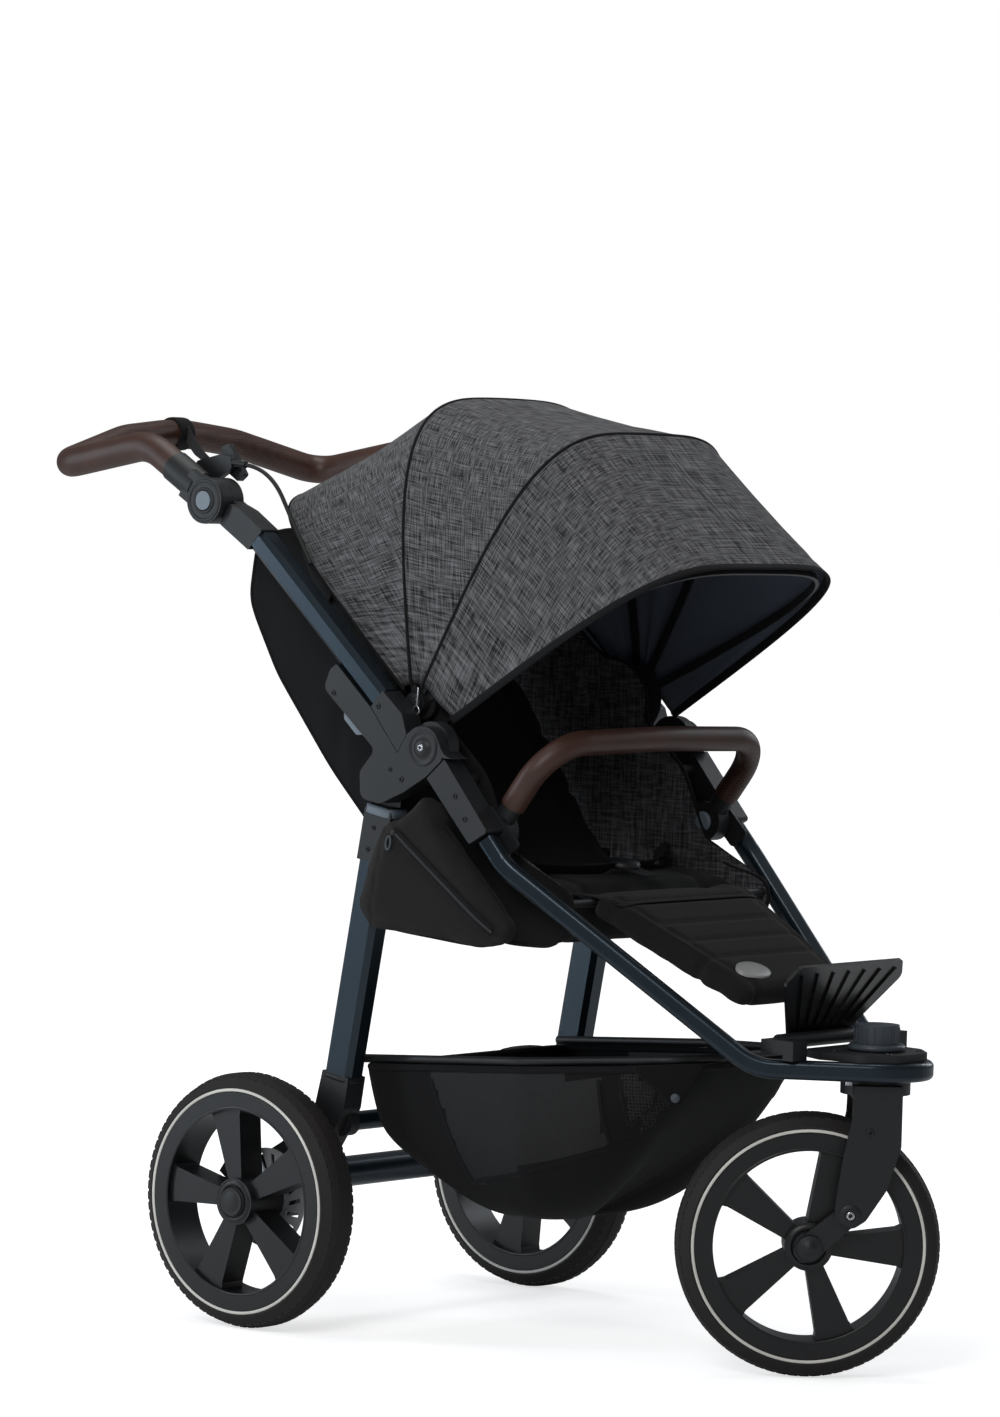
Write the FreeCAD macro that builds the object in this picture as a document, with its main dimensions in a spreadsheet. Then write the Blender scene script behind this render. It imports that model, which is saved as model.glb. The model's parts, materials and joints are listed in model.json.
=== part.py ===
import FreeCAD, Part
import math
import os

import Sketcher
from FreeCAD import Placement, Rotation, Vector

# Three-wheel baby stroller, millimetres. While it is modelled, X points forward, Y to the
# child's left, Z up, and the origin is on the ground below the rear axle. The last section
# moves every piece so that the origin is the middle of the footprint.

doc = FreeCAD.newDocument("stroller")

SIZES = [
    # wheels
    ("wheel_radius", 147.5), ("tyre_half_width", 24.75), ("tyre_wall", 5.5),
    ("rim_radius", 126.0), ("rim_half_width", 25.0), ("rim_opening_radius", 106.0),
    ("rim_wall", 4.0), ("hub_radius", 27.0), ("hub_half_width", 27.0),
    ("spoke_depth", 36.0), ("spoke_count", 5), ("axle_radius", 6.0),
    ("axle_head_radius", 16.0), ("axle_head_height", 5.0),
    ("rear_wheel_offset", 257.8), ("disc_radius", 58.0), ("disc_thickness", 2.0),
    # rear legs and axle
    ("leg_outer_face", 225.0), ("leg_thickness", 30.0), ("leg_depth", 40.0),
    ("leg_wall", 2.0), ("leg_angle", 10.0), ("leg_length", 250.0),
    ("leg_foot_top_x", 98.0), ("leg_foot_top_z", 300.0), ("leg_bracket_length", 66.0),
    ("axle_tube_radius", 18.0), ("axle_tube_x", 14.0), ("axle_tube_z", 170.0),
    ("cross_tube_radius", 11.0), ("cross_tube_x", 96.0), ("cross_tube_z", 243.0),
    ("tube_wall", 2.0), ("leg_pivot_x", 160.0), ("leg_pivot_z", 640.0),
    # fold hinge and side plates
    ("hinge_x", 231.0), ("hinge_z", 682.0), ("plate_inner_face", 213.0),
    ("plate_thickness", 30.0), ("hinge_disc_radius", 24.0), ("hinge_pin_radius", 8.0),
    ("ear_thickness", 15.2), ("ear_radius", 29.3), ("running_gap", 0.3),
    # push frame
    ("push_tube_angle", 137.7), ("push_tube_offset", 8.5), ("push_tube_start", 87.0),
    ("push_tube_end", 346.0), ("push_tube_width", 27.0), ("push_tube_wall", 2.0),
    ("handle_neck_length", 84.2), ("handle_neck_side", 25.0), ("handle_disc_radius", 27.0),
    ("handle_disc_split", 232.0), ("handle_button_radius", 11.0), ("button_stroke", 3.0),
    # handlebar
    ("grip_radius", 17.5), ("handle_tube_radius", 12.0), ("handle_tube_wall", 1.8),
    ("handle_half_width", 232.0), ("handle_reach", 281.0), ("handle_rise", 81.0),
    # front frame
    ("sleeve_angle", 48.7), ("sleeve_start", 28.5), ("sleeve_end", 132.0),
    ("sleeve_half_depth", 17.0), ("front_tube_width", 22.0), ("front_tube_depth", 21.0),
    ("front_tube_wall", 2.0), ("front_bend_x", 345.0), ("front_bend_z", 553.0),
    ("nose_z", 345.0), ("nose_radius", 61.5), ("nose_convergence", 26.9),
    ("steering_x", 697.3), ("front_bend_radius", 70.0),
    # fork and front wheel
    ("swivel_angle", 40.3), ("trail", 70.8), ("fork_inner_face", 36.5),
    ("fork_thickness", 10.0), ("arm_thickness", 6.4), ("stem_radius", 12.0),
    ("arm_pivot_x", -27.0), ("arm_pivot_z", 185.5), ("knob_radius", 29.0),
    ("knob_top_radius", 25.0), ("knob_height", 29.0),
    # seat
    ("seat_half_width", 176.0), ("wing_thickness", 4.5), ("backrest_length", 353.0),
    ("backrest_thickness", 42.0), ("backrest_angle", 124.0), ("backrest_pivot_x", 165.0),
    ("backrest_pivot_z", 545.0), ("leg_rest_x", 398.0), ("leg_rest_z", 514.0),
    ("leg_rest_length", 215.0), ("leg_rest_half_thickness", 13.0), ("leg_rest_angle", 27.0),
    ("leg_rest_half_width", 148.0), ("leg_rest_end_half_width", 105.0),
    # canopy
    ("canopy_hub_x", 188.0), ("canopy_hub_z", 731.0), ("bow_thickness", 3.6),
    ("bow_width", 9.0), ("bow_reach", 345.5), ("front_bow_reach", 368.0),
    ("rear_bow_angle", 97.5), ("middle_bow_angle", 62.0), ("front_bow_angle", 26.0),
    ("bow_layer_gap", 0.8), ("rear_bow_half_width", 207.6), ("cover_thickness", 1.6),
    ("cover_clearance", 1.0), ("cover_rear_angle", 137.0), ("visor_drop", 57.0),
    ("visor_angle", 33.0), ("visor_reach", 404.0),
    # bumper bar
    ("bumper_pivot_x", 305.0), ("bumper_pivot_z", 591.0), ("bumper_half_width", 197.0),
    ("bumper_angle", 53.0), ("bumper_reach", 126.0), ("bumper_bend_radius", 57.0),
    ("bumper_grip_radius", 14.5), ("bumper_tube_radius", 9.0), ("knuckle_radius", 23.0),
    # basket
    ("basket_half_width", 184.0), ("basket_wall", 3.0), ("basket_rod_radius", 5.0),
    ("cable_radius", 2.5),
]

sheet = doc.addObject("Spreadsheet::Sheet", "Sizes")
for row, (alias, number) in enumerate(SIZES, start=1):
    sheet.set("A%d" % row, alias)
    sheet.set("B%d" % row, str(number))
    sheet.setAlias("B%d" % row, alias)
doc.recompute()


def size(alias):
    return float(sheet.get(alias))


def bind(thing, **expressions):
    for name, expression in expressions.items():
        thing.setExpression(name, expression)


PARTS = {}


def keep(label, thing):
    """Register an object as the sub-part named label."""
    thing.Label = label
    PARTS[label] = thing
    return thing


# ---------------------------------------------------------------- drawing helpers

def corner_path(points, closed):
    """Edges through points given as (vector, corner radius), with tangent arcs."""
    edges = []
    count = len(points)
    starts = []
    ends = []
    for index, (point, radius) in enumerate(points):
        before = points[index - 1][0]
        after = points[(index + 1) % count][0]
        if radius <= 0 or (not closed and index in (0, count - 1)):
            starts.append(point)
            ends.append(point)
            continue
        into = (point - before).normalize()
        out = (after - point).normalize()
        half_turn = into.getAngle(out) / 2
        if half_turn < 1e-4:
            starts.append(point)
            ends.append(point)
            continue
        cut = radius * math.tan(half_turn)
        first = point - into * cut
        last = point + out * cut
        inward = (out - into).normalize()
        middle = point + inward * (radius / math.cos(half_turn) - radius)
        edges.append((index, Part.Arc(first, middle, last)))
        starts.append(first)
        ends.append(last)
    arcs = dict(edges)
    ordered = []
    for index in range(count):
        if index in arcs:
            ordered.append(arcs[index])
        following = (index + 1) % count
        if following == 0 and not closed:
            break
        if (starts[following] - ends[index]).Length > 1e-6:
            ordered.append(Part.LineSegment(ends[index], starts[following]))
    return ordered


def flat_points(outline):
    return [(Vector(point[0], point[1], 0), point[2] if len(point) > 2 else 0)
            for point in outline]


def wire_of(curves):
    return Part.Wire([curve.toShape() for curve in curves])


def origin_plane(body, role):
    for feature in body.Origin.OriginFeatures:
        if feature.Role == role:
            return feature
    raise ValueError(role)


def add_sketch(body, name, role, offset, outlines=(), circles=()):
    """A sketch on an origin plane: outlines are corner lists, circles are (x, y, alias)."""
    sketch = body.newObject("Sketcher::SketchObject", name)
    sketch.AttachmentSupport = [(origin_plane(body, role), "")]
    sketch.MapMode = "FlatFace"
    sketch.AttachmentOffset = Placement(Vector(0, 0, offset), Rotation())
    for outline in outlines:
        sketch.addGeometry(corner_path(flat_points(outline), True), False)
    for x, y, expression in circles:
        radius = sheet_value(expression)
        index = sketch.addGeometry(Part.Circle(Vector(x, y, 0), Vector(0, 0, 1), radius))
        constraint = sketch.addConstraint(Sketcher.Constraint("Radius", index, radius))
        sketch.setExpression("Constraints[%d]" % constraint, expression)
    return sketch


def sheet_value(expression):
    """The value of an expression that only adds and multiplies sheet cells and numbers."""
    total = 0.0
    for term in expression.replace("-", "+-").split("+"):
        term = term.strip()
        if not term:
            continue
        sign = -1.0 if term.startswith("-") else 1.0
        product = sign
        for factor in term.lstrip("-").split("*"):
            factor = factor.strip()
            if factor.startswith("Sizes."):
                product *= size(factor[len("Sizes."):])
            else:
                product *= float(factor)
        total += product
    return total


def pad(body, name, sketch, length):
    feature = body.newObject("PartDesign::Pad", name)
    feature.Profile = sketch
    feature.setExpression("Length", length)
    sketch.Visibility = False
    return feature


def pocket(body, name, sketch, depth, toward_normal):
    feature = body.newObject("PartDesign::Pocket", name)
    feature.Profile = sketch
    feature.setExpression("Length", depth)
    feature.Reversed = toward_normal
    doc.recompute()
    return feature


def plate(name, role, offset, length, outlines=(), circles=()):
    """A body with one pad. On XZ_Plane the pad grows towards -Y from y = -offset."""
    body = doc.addObject("PartDesign::Body", name)
    sketch = add_sketch(body, name + "_sketch", role, offset, outlines, circles)
    pad(body, name + "_pad", sketch, length)
    return body


def cylinder(name, start, direction, radius, length):
    thing = doc.addObject("Part::Cylinder", name)
    bind(thing, Radius=radius, Height=length)
    thing.Placement = Placement(start, Rotation(Vector(0, 0, 1), direction))
    return thing


def box(name, low, high):
    thing = doc.addObject("Part::Box", name)
    thing.Length = high[0] - low[0]
    thing.Width = high[1] - low[1]
    thing.Height = high[2] - low[2]
    thing.Placement = Placement(Vector(*low), Rotation())
    return thing


def cut(name, base, tool):
    thing = doc.addObject("Part::Cut", name)
    thing.Base = base
    thing.Tool = tool
    return thing


def fuse(name, shapes):
    thing = doc.addObject("Part::MultiFuse", name)
    thing.Shapes = shapes
    return thing


def pair(label, right):
    """The right-hand piece and its mirror image as one sub-part of two solids."""
    mirror = doc.addObject("Part::Mirroring", label + "_mirror")
    mirror.Source = right
    mirror.Normal = Vector(0, 1, 0)
    both = doc.addObject("Part::Compound", label)
    both.Links = [right, mirror]
    return keep(label, both)


MIRRORED = []


def mirrored(label, right):
    MIRRORED.append(label)
    mirror = doc.addObject("Part::Mirroring", label + "_mirror")
    mirror.Source = right
    mirror.Normal = Vector(0, 1, 0)
    return keep(label, mirror)


def path_wire(points, radius):
    """A run of straight lines joined by tangent arcs of one radius or one per corner."""
    radii = radius if isinstance(radius, list) else [radius] * len(points)
    return wire_of(corner_path(list(zip(points, radii)), False))


def sweep(name, points, bend, radius):
    """A round bar along a bent path."""
    wire = path_wire(points, bend)
    path = doc.addObject("Part::Feature", name + "_path")
    path.Shape = wire
    ring = doc.addObject("Part::Circle", name + "_section")
    ring.setExpression("Radius", radius)
    toward = points[1] - points[0]
    ring.Placement = Placement(points[0], Rotation(Vector(0, 0, 1), toward))
    bar = doc.addObject("Part::Sweep", name)
    bar.Sections = [ring]
    bar.Spine = (path, ["Edge%d" % (number + 1) for number in range(len(wire.Edges))])
    bar.Solid = True
    return bar


def hollow_sweep(name, points, bend, outer, inner):
    return cut(name, sweep(name + "_outer", points, bend, outer),
               sweep(name + "_inner", points, bend, inner))


def feature(name, shape, placement=None):
    thing = doc.addObject("Part::Feature", name)
    thing.Shape = shape
    if placement:
        thing.Placement = placement
    return thing


def turned(angle):
    """Rotation about Y that lays local X along the direction angle above +X."""
    return Rotation(Vector(0, 1, 0), -angle)


def along(origin, angle, distance, side=0.0):
    """The X, Z point at distance along angle from origin and side to its upper left."""
    turn = math.radians(angle)
    return (origin[0] + distance * math.cos(turn) - side * math.sin(turn),
            origin[1] + distance * math.sin(turn) + side * math.cos(turn))


HINGE = (size("hinge_x"), size("hinge_z"))
LEG_PIVOT = (size("leg_pivot_x"), size("leg_pivot_z"))
PLATE_IN = size("plate_inner_face")
PLATE_OUT = PLATE_IN + size("plate_thickness")
GAP = size("running_gap")
RIGHT = Vector(0, -1, 0)


# ---------------------------------------------------------------- wheels

def rim(label, inner_hub):
    """Moulded five-spoke rim about its own Z axis, +Z outboard. inner_hub is the boss depth."""
    body = doc.addObject("PartDesign::Body", label + "_body")
    opening = size("rim_opening_radius")
    wall = size("rim_wall")
    edge = size("rim_radius")
    half = size("rim_half_width")
    section = [(opening, half), (edge, half), (edge, half - wall), (opening + wall, half - wall),
               (opening + wall, wall - half), (edge, wall - half), (edge, -half),
               (opening, -half)]
    sketch = add_sketch(body, label + "_section", "XZ_Plane", 0, [section])
    ring = body.newObject("PartDesign::Revolution", label + "_ring")
    ring.Profile = sketch
    ring.ReferenceAxis = (sketch, ["V_Axis"])
    ring.Angle = 360
    hub = add_sketch(body, label + "_hub", "XY_Plane", -sheet_value(inner_hub), [],
                     [(0, 0, "Sizes.hub_radius"), (0, 0, "Sizes.axle_radius + 0.1")])
    pad(body, label + "_hub_pad", hub, inner_hub + " + Sizes.hub_half_width")
    reach = math.sqrt((opening + 0.8 * wall) ** 2 - 24 ** 2)
    blade = [(size("hub_radius") - 5, -9.5), (reach - 9, -20), (reach, -24),
             (reach, 24), (reach - 9, 20), (size("hub_radius") - 5, 9.5)]
    spoke = add_sketch(body, label + "_spoke", "XY_Plane", 2 - size("spoke_depth") / 2, [blade])
    blade_pad = pad(body, label + "_spoke_pad", spoke, "Sizes.spoke_depth")
    doc.recompute()
    pattern = body.newObject("PartDesign::PolarPattern", label + "_spokes")
    pattern.Originals = [blade_pad]
    pattern.Axis = (spoke, ["N_Axis"])
    pattern.Angle = 360
    pattern.setExpression("Occurrences", "Sizes.spoke_count")
    body.Tip = pattern
    return keep(label, body)


def tyre(label):
    body = doc.addObject("PartDesign::Body", label + "_body")
    seat = size("rim_opening_radius") + size("rim_wall") + GAP
    edge = size("rim_radius") + GAP
    bead = size("rim_half_width") - size("rim_wall") - GAP
    crown = size("wheel_radius")
    half = size("tyre_half_width")
    wall = size("tyre_wall")
    outer = [(seat, bead), (edge, bead), (edge, half - 0.3), (crown - 14.5, half, 4),
             (crown - 4, half - 7, 9), (crown, 6, 20), (crown, -6, 20),
             (crown - 4, 7 - half, 9), (crown - 14.5, -half, 4), (edge, 0.3 - half),
             (edge, -bead), (seat, -bead)]
    inner = [(seat, wall - bead), (crown - 16, wall - bead, 5), (crown - wall, -6, 8),
             (crown - wall, 6, 8), (crown - 16, bead - wall, 5), (seat, bead - wall)]
    sketch = add_sketch(body, label + "_section", "XZ_Plane", 0, [outer + inner])
    ring = body.newObject("PartDesign::Revolution", label + "_ring")
    ring.Profile = sketch
    ring.ReferenceAxis = (sketch, ["V_Axis"])
    ring.Angle = 360
    return keep(label, body)


DISC_FACE = "1.0 * Sizes.rear_wheel_offset - 1.0 * Sizes.leg_outer_face - 1.3 - Sizes.disc_thickness"


def brake_disc(label):
    """Slotted disc on the inboard end of a rear hub."""
    slots = []
    slot_count = 9
    for number in range(slot_count):
        for start, spread in ((0.0, 9.0), (20.0, 9.0)):
            turn = 360.0 / slot_count * number + start
            inside = size("disc_radius") - 24
            outside = size("disc_radius") - 6
            corners = [(inside, turn), (outside, turn + spread),
                       (outside, turn + spread + 6), (inside, turn + 8)]
            slots.append([(r * math.cos(math.radians(a)), r * math.sin(math.radians(a)))
                          for r, a in corners])
    body = plate(label + "_body", "XY_Plane",
                 -sheet_value(DISC_FACE) - size("disc_thickness"),
                 "Sizes.disc_thickness", slots,
                 [(0, 0, "Sizes.disc_radius"), (0, 0, "Sizes.axle_radius + 2")])
    return keep(label, body)


def place_wheel(labels, side):
    """Turn wheel pieces so that +Z points outboard on the given side (-1 right, 1 left)."""
    turn = Rotation(Vector(1, 0, 0), 90 if side < 0 else -90)
    spin = Rotation(Vector(0, 0, 1), 30)
    centre = Vector(0, side * size("rear_wheel_offset"), size("wheel_radius"))
    for label in labels:
        PARTS[label].Placement = Placement(centre, turn.multiply(spin))


for wheel_side, side_name in ((-1, "right"), (1, "left")):
    names = [side_name + "_rear_rim", side_name + "_rear_tyre", side_name + "_brake_disc"]
    rim(names[0], DISC_FACE)
    tyre(names[1])
    brake_disc(names[2])
    place_wheel(names, wheel_side)

rim("front_rim", "Sizes.hub_half_width")
tyre("front_tyre")
STEER = Placement(Vector(size("steering_x"), 0, 0),
                  Rotation(Vector(0, 0, 1), size("swivel_angle")))
FRONT_WHEEL = Placement(Vector(-size("trail"), 0, size("wheel_radius")),
                        Rotation(Vector(1, 0, 0), 90))
for front_piece in ("front_rim", "front_tyre"):
    PARTS[front_piece].Placement = STEER.multiply(FRONT_WHEEL)


# ---------------------------------------------------------------- rear frame

LEG_OUT = size("leg_outer_face")
LEG_IN = LEG_OUT - size("leg_thickness")
LEG_MID = (LEG_OUT + LEG_IN) / 2
LEG_BASE = (size("leg_foot_top_x"), size("leg_foot_top_z"))
LEG_UP = 90 - size("leg_angle")


def octagon(width, depth, chamfer):
    half_w = width / 2
    half_d = depth / 2
    return [(half_w - chamfer, -half_d), (half_w, chamfer - half_d), (half_w, half_d - chamfer),
            (half_w - chamfer, half_d), (chamfer - half_w, half_d), (-half_w, half_d - chamfer),
            (-half_w, chamfer - half_d), (chamfer - half_w, -half_d)]


def hollow_octagon(width, depth, chamfer, wall):
    return [octagon(width, depth, chamfer),
            octagon(width - 2 * wall, depth - 2 * wall, chamfer - wall / 2)]


leg = plate("rear_leg", "XY_Plane", 0, "Sizes.leg_length",
            hollow_octagon(size("leg_depth"), size("leg_thickness"), 6, size("leg_wall")))
leg.Placement = Placement(Vector(LEG_BASE[0], -LEG_MID, LEG_BASE[1]),
                          Rotation(Vector(0, 1, 0), size("leg_angle")))
pair("rear_legs", leg)

LEG_TOP = along(LEG_BASE, LEG_UP, size("leg_length"))
BRACKET_TOP = along(LEG_BASE, LEG_UP, size("leg_length") + size("leg_bracket_length"))
half_leg = size("leg_depth") / 2
bracket_outline = [along(LEG_TOP, LEG_UP, 0, half_leg) + (1,),
                   along(LEG_TOP, LEG_UP, 0, -half_leg) + (1,),
                   along(BRACKET_TOP, LEG_UP, 0, -half_leg) + (8,),
                   along(BRACKET_TOP, LEG_UP, 0, half_leg) + (8,)]
bracket = plate("leg_bracket", "XZ_Plane", LEG_IN, "Sizes.leg_thickness", [bracket_outline])
ear_outline = [along(LEG_PIVOT, -90, 30, -15), along(LEG_PIVOT, -90, 30, 15),
               along(LEG_PIVOT, 0, 16), along(LEG_PIVOT, 60, 18.5) + (12,),
               along(LEG_PIVOT, 120, 18.5) + (12,), along(LEG_PIVOT, 180, 16)]
leg_ear = plate("leg_ear", "XZ_Plane", LEG_IN, "Sizes.plate_inner_face - Sizes.running_gap"
                " - Sizes.leg_outer_face + Sizes.leg_thickness", [ear_outline],
                [(LEG_PIVOT[0], LEG_PIVOT[1], "Sizes.hinge_pin_radius + 0.1")])
pair("leg_brackets", fuse("leg_bracket_and_ear", [bracket, leg_ear]))

foot_outline = [along(LEG_BASE, LEG_UP, 0, half_leg) + (1,),
                along(LEG_BASE, LEG_UP, 0, -half_leg) + (1,),
                (LEG_BASE[0] + 14, LEG_BASE[1] - 40, 12), (LEG_BASE[0] - 6, LEG_BASE[1] - 76, 14),
                (30, 128, 16), (-24, 120, 18), (-40, 168.5, 3), (-26, 188.5, 3), (18, 214, 20),
                (LEG_BASE[0] - 32, LEG_BASE[1] - 46, 14)]
foot = plate("leg_foot", "XZ_Plane", LEG_IN, "Sizes.leg_thickness", [foot_outline],
             [(0, size("wheel_radius"), "Sizes.axle_radius + 0.05")])
lug = cylinder("cross_tube_lug",
               Vector(size("cross_tube_x"), -LEG_IN, size("cross_tube_z")), RIGHT,
               "Sizes.cross_tube_radius + 5", "0.5 * Sizes.leg_thickness")
lug_web = box("cross_tube_web", (LEG_BASE[0] - 24, -LEG_MID, size("cross_tube_z") - 9),
              (size("cross_tube_x"), -LEG_IN, size("cross_tube_z") + 13))
pair("leg_feet", fuse("leg_foot_and_lug", [foot, lug, lug_web]))


def cross_bar(label, x, z, radius):
    outer = cylinder(label + "_outer", Vector(x, LEG_IN, z), RIGHT, radius,
                     "2 * Sizes.leg_outer_face - 2 * Sizes.leg_thickness")
    inner = cylinder(label + "_inner", Vector(x, LEG_IN, z), RIGHT,
                     radius + " - Sizes.tube_wall",
                     "2 * Sizes.leg_outer_face - 2 * Sizes.leg_thickness")
    return keep(label, cut(label, outer, inner))


cross_bar("axle_tube", size("axle_tube_x"), size("axle_tube_z"), "Sizes.axle_tube_radius")
cross_bar("rear_cross_tube", size("cross_tube_x"), size("cross_tube_z"),
          "Sizes.cross_tube_radius")

AXLE_LENGTH = ("Sizes.rear_wheel_offset + Sizes.hub_half_width + Sizes.running_gap"
               " - Sizes.leg_outer_face + Sizes.leg_thickness")
axle_start = Vector(0, -LEG_IN, size("wheel_radius"))
shank = cylinder("axle_shank", axle_start, RIGHT, "Sizes.axle_radius", AXLE_LENGTH)
head = cylinder("axle_head", axle_start + RIGHT * sheet_value(AXLE_LENGTH), RIGHT,
                "Sizes.axle_head_radius", "Sizes.axle_head_height")
pair("rear_axles", fuse("axle_and_head", [shank, head]))

# The caliper straddles the disc behind the axle, on the end of the foot's lug.
CALIPER_ANGLE = 145.0
disc_in = LEG_OUT + 1.3
caliper_body = doc.addObject("Part::Box", "caliper_block")
caliper_body.Length = size("disc_radius") + 12 - 45
caliper_body.Width = 28
caliper_body.Height = 36
slot_body = doc.addObject("Part::Box", "caliper_slot")
slot_body.Length = size("disc_radius") + 2 - 44
slot_body.Width = size("disc_thickness") + 3
slot_body.Height = 40
axle_centre = Placement(Vector(0, 0, size("wheel_radius")), turned(CALIPER_ANGLE))
caliper_body.Placement = axle_centre.multiply(
    Placement(Vector(45, -(disc_in + size("disc_thickness") + 8), -18), Rotation()))
slot_body.Placement = axle_centre.multiply(
    Placement(Vector(44, -(disc_in + size("disc_thickness") + 1.5), -20), Rotation()))
pair("brake_calipers", cut("caliper", caliper_body, slot_body))


# ---------------------------------------------------------------- side plates and hinge

TUBE_ANGLE = size("push_tube_angle")
TUBE_SIDE = size("push_tube_offset")
# The push tube ends in a wedge that nests in a notch of the side plate when open.
WEDGE_TOP = size("push_tube_start")
half_tube = size("push_tube_width") / 2
wedge_rear = along(HINGE, TUBE_ANGLE, WEDGE_TOP, TUBE_SIDE + half_tube - 1)
wedge_front = along(HINGE, TUBE_ANGLE, WEDGE_TOP, TUBE_SIDE - half_tube + 1)
wedge_tip = along(HINGE, 190.7, 37.6)
wedge_low = along(HINGE, 149.7, 28.3)
wedge_side = along(HINGE, 130.9, 49)
NEST = 0.7


def hinge_corner(angle):
    radius = size("hinge_disc_radius")
    return along(HINGE, angle, radius / math.cos(math.radians(22.5))) + (radius - 2,)


sleeve_angle = -size("sleeve_angle")
sleeve_half = size("sleeve_half_depth")
sleeve_top = along(HINGE, sleeve_angle, size("sleeve_start"), sleeve_half)
sleeve_low = along(HINGE, sleeve_angle, size("sleeve_start"), -sleeve_half)
flap_inner = along(HINGE, TUBE_ANGLE, 158, TUBE_SIDE + half_tube + NEST)
plate_outline = [
    flap_inner + (3,), along(HINGE, TUBE_ANGLE, 160, TUBE_SIDE + half_tube + 12) + (5,),
    along(HINGE, TUBE_ANGLE, 152, TUBE_SIDE + half_tube + 34) + (10,),
    along(HINGE, TUBE_ANGLE, 48, TUBE_SIDE + half_tube + 30) + (8,),
    along(LEG_PIVOT, 155, 24) + (8,), along(LEG_PIVOT, 225, 28) + (12,),
    along(LEG_PIVOT, 290, 26.5) + (12,), (LEG_PIVOT[0] + 44, LEG_PIVOT[1] - 10, 14),
    sleeve_low + (2,), sleeve_top + (2,),
    hinge_corner(-22.5), hinge_corner(22.5), hinge_corner(67.5), hinge_corner(112.5),
    along(HINGE, 149.7, 28.3 - NEST) + (2,),
    (wedge_tip[0], wedge_tip[1] - 1.6 * NEST, 1),
    (wedge_rear[0] - 1.2 * NEST, wedge_rear[1] - NEST, 1)]
side_plate = plate("side_plate", "XZ_Plane", PLATE_IN, "Sizes.plate_thickness",
                   [plate_outline])
relief = add_sketch(side_plate, "hinge_relief", "XZ_Plane", PLATE_IN, [],
                    [(HINGE[0], HINGE[1], "Sizes.ear_radius + 0.7")])
pocket(side_plate, "hinge_relief_pocket", relief, "Sizes.ear_thickness + 2 * Sizes.running_gap",
       True)
hinge_pin = add_sketch(side_plate, "hinge_pin", "XZ_Plane", PLATE_IN, [],
                       [(HINGE[0], HINGE[1], "1.0 * Sizes.hinge_pin_radius")])
pad(side_plate, "hinge_pin_pad", hinge_pin, "Sizes.ear_thickness + 2 * Sizes.running_gap + 1")
leg_pin = cylinder("leg_pin", Vector(LEG_PIVOT[0], -LEG_IN, LEG_PIVOT[1]), RIGHT,
                   "1.0 * Sizes.hinge_pin_radius",
                   "Sizes.plate_inner_face - Sizes.leg_outer_face + Sizes.leg_thickness + 1")
pair("side_plates", fuse("side_plate_and_pin", [side_plate, leg_pin]))

wedge_outline = [wedge_rear + (1,), wedge_tip + (1,), wedge_low + (2,), wedge_side + (6,),
                 wedge_front + (1,)]
wedge = plate("wedge", "XZ_Plane", PLATE_IN, "Sizes.plate_thickness", [wedge_outline])
ear = plate("push_ear", "XZ_Plane", PLATE_IN + GAP, "Sizes.ear_thickness", [],
            [(HINGE[0], HINGE[1], "1.0 * Sizes.ear_radius"),
             (HINGE[0], HINGE[1], "Sizes.hinge_pin_radius + 0.1")])
pair("push_tube_ends", fuse("wedge_and_ear", [wedge, ear]))

push_tube = plate("push_tube", "XY_Plane", 0, "Sizes.push_tube_end - Sizes.push_tube_start",
                  hollow_octagon(size("push_tube_width"), size("plate_thickness"), 6,
                                 size("push_tube_wall")))
tube_foot = along(HINGE, TUBE_ANGLE, WEDGE_TOP, TUBE_SIDE)
push_tube.Placement = Placement(Vector(tube_foot[0], -(PLATE_IN + PLATE_OUT) / 2, tube_foot[1]),
                                Rotation(Vector(0, 1, 0), 90 - TUBE_ANGLE))
pair("push_tubes", push_tube)

# Grey release levers that peep out behind the plate's flap.
lever_at = along(HINGE, TUBE_ANGLE, 96, TUBE_SIDE + half_tube + 31)
lever_outline = [along(lever_at, TUBE_ANGLE, -20, 2.2) + (1,),
                 along(lever_at, TUBE_ANGLE, 22, 2.2) + (1,),
                 along(lever_at, TUBE_ANGLE, 14, 11) + (6,),
                 along(lever_at, TUBE_ANGLE, -12, 11) + (6,)]
fold_lever = plate("right_fold_lever_body", "XZ_Plane", PLATE_IN + 7, "16",
                   [lever_outline])
keep("right_fold_lever", fold_lever)
mirrored("left_fold_lever", fold_lever)


# ---------------------------------------------------------------- handlebar and its pivots

PIVOT = along(HINGE, TUBE_ANGLE, size("push_tube_end") + size("handle_neck_length"),
              size("handle_neck_side"))
SPLIT = size("handle_disc_split")
tube_end = along(HINGE, TUBE_ANGLE, size("push_tube_end"), TUBE_SIDE)
neck_angle = math.degrees(math.atan2(tube_end[1] - PIVOT[1], tube_end[0] - PIVOT[0]))
ARM_ANGLE = 149.0
neck = [along(tube_end, TUBE_ANGLE, 0.4, half_tube + 2) + (2,),
        along(tube_end, TUBE_ANGLE, 0.4, -half_tube - 2) + (2,),
        along(PIVOT, neck_angle, 48, 17) + (8,), along(PIVOT, neck_angle, 28.7, 14) + (2,),
        along(PIVOT, neck_angle, 28.7, -14) + (2,)]
lower_neck = plate("pivot_neck", "XZ_Plane", PLATE_IN, "Sizes.plate_thickness", [neck])
lower_disc = cylinder("pivot_disc", Vector(PIVOT[0], -PLATE_IN, PIVOT[1]), RIGHT,
                      "1.0 * Sizes.handle_disc_radius",
                      "Sizes.handle_disc_split - Sizes.plate_inner_face - Sizes.running_gap")
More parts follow.
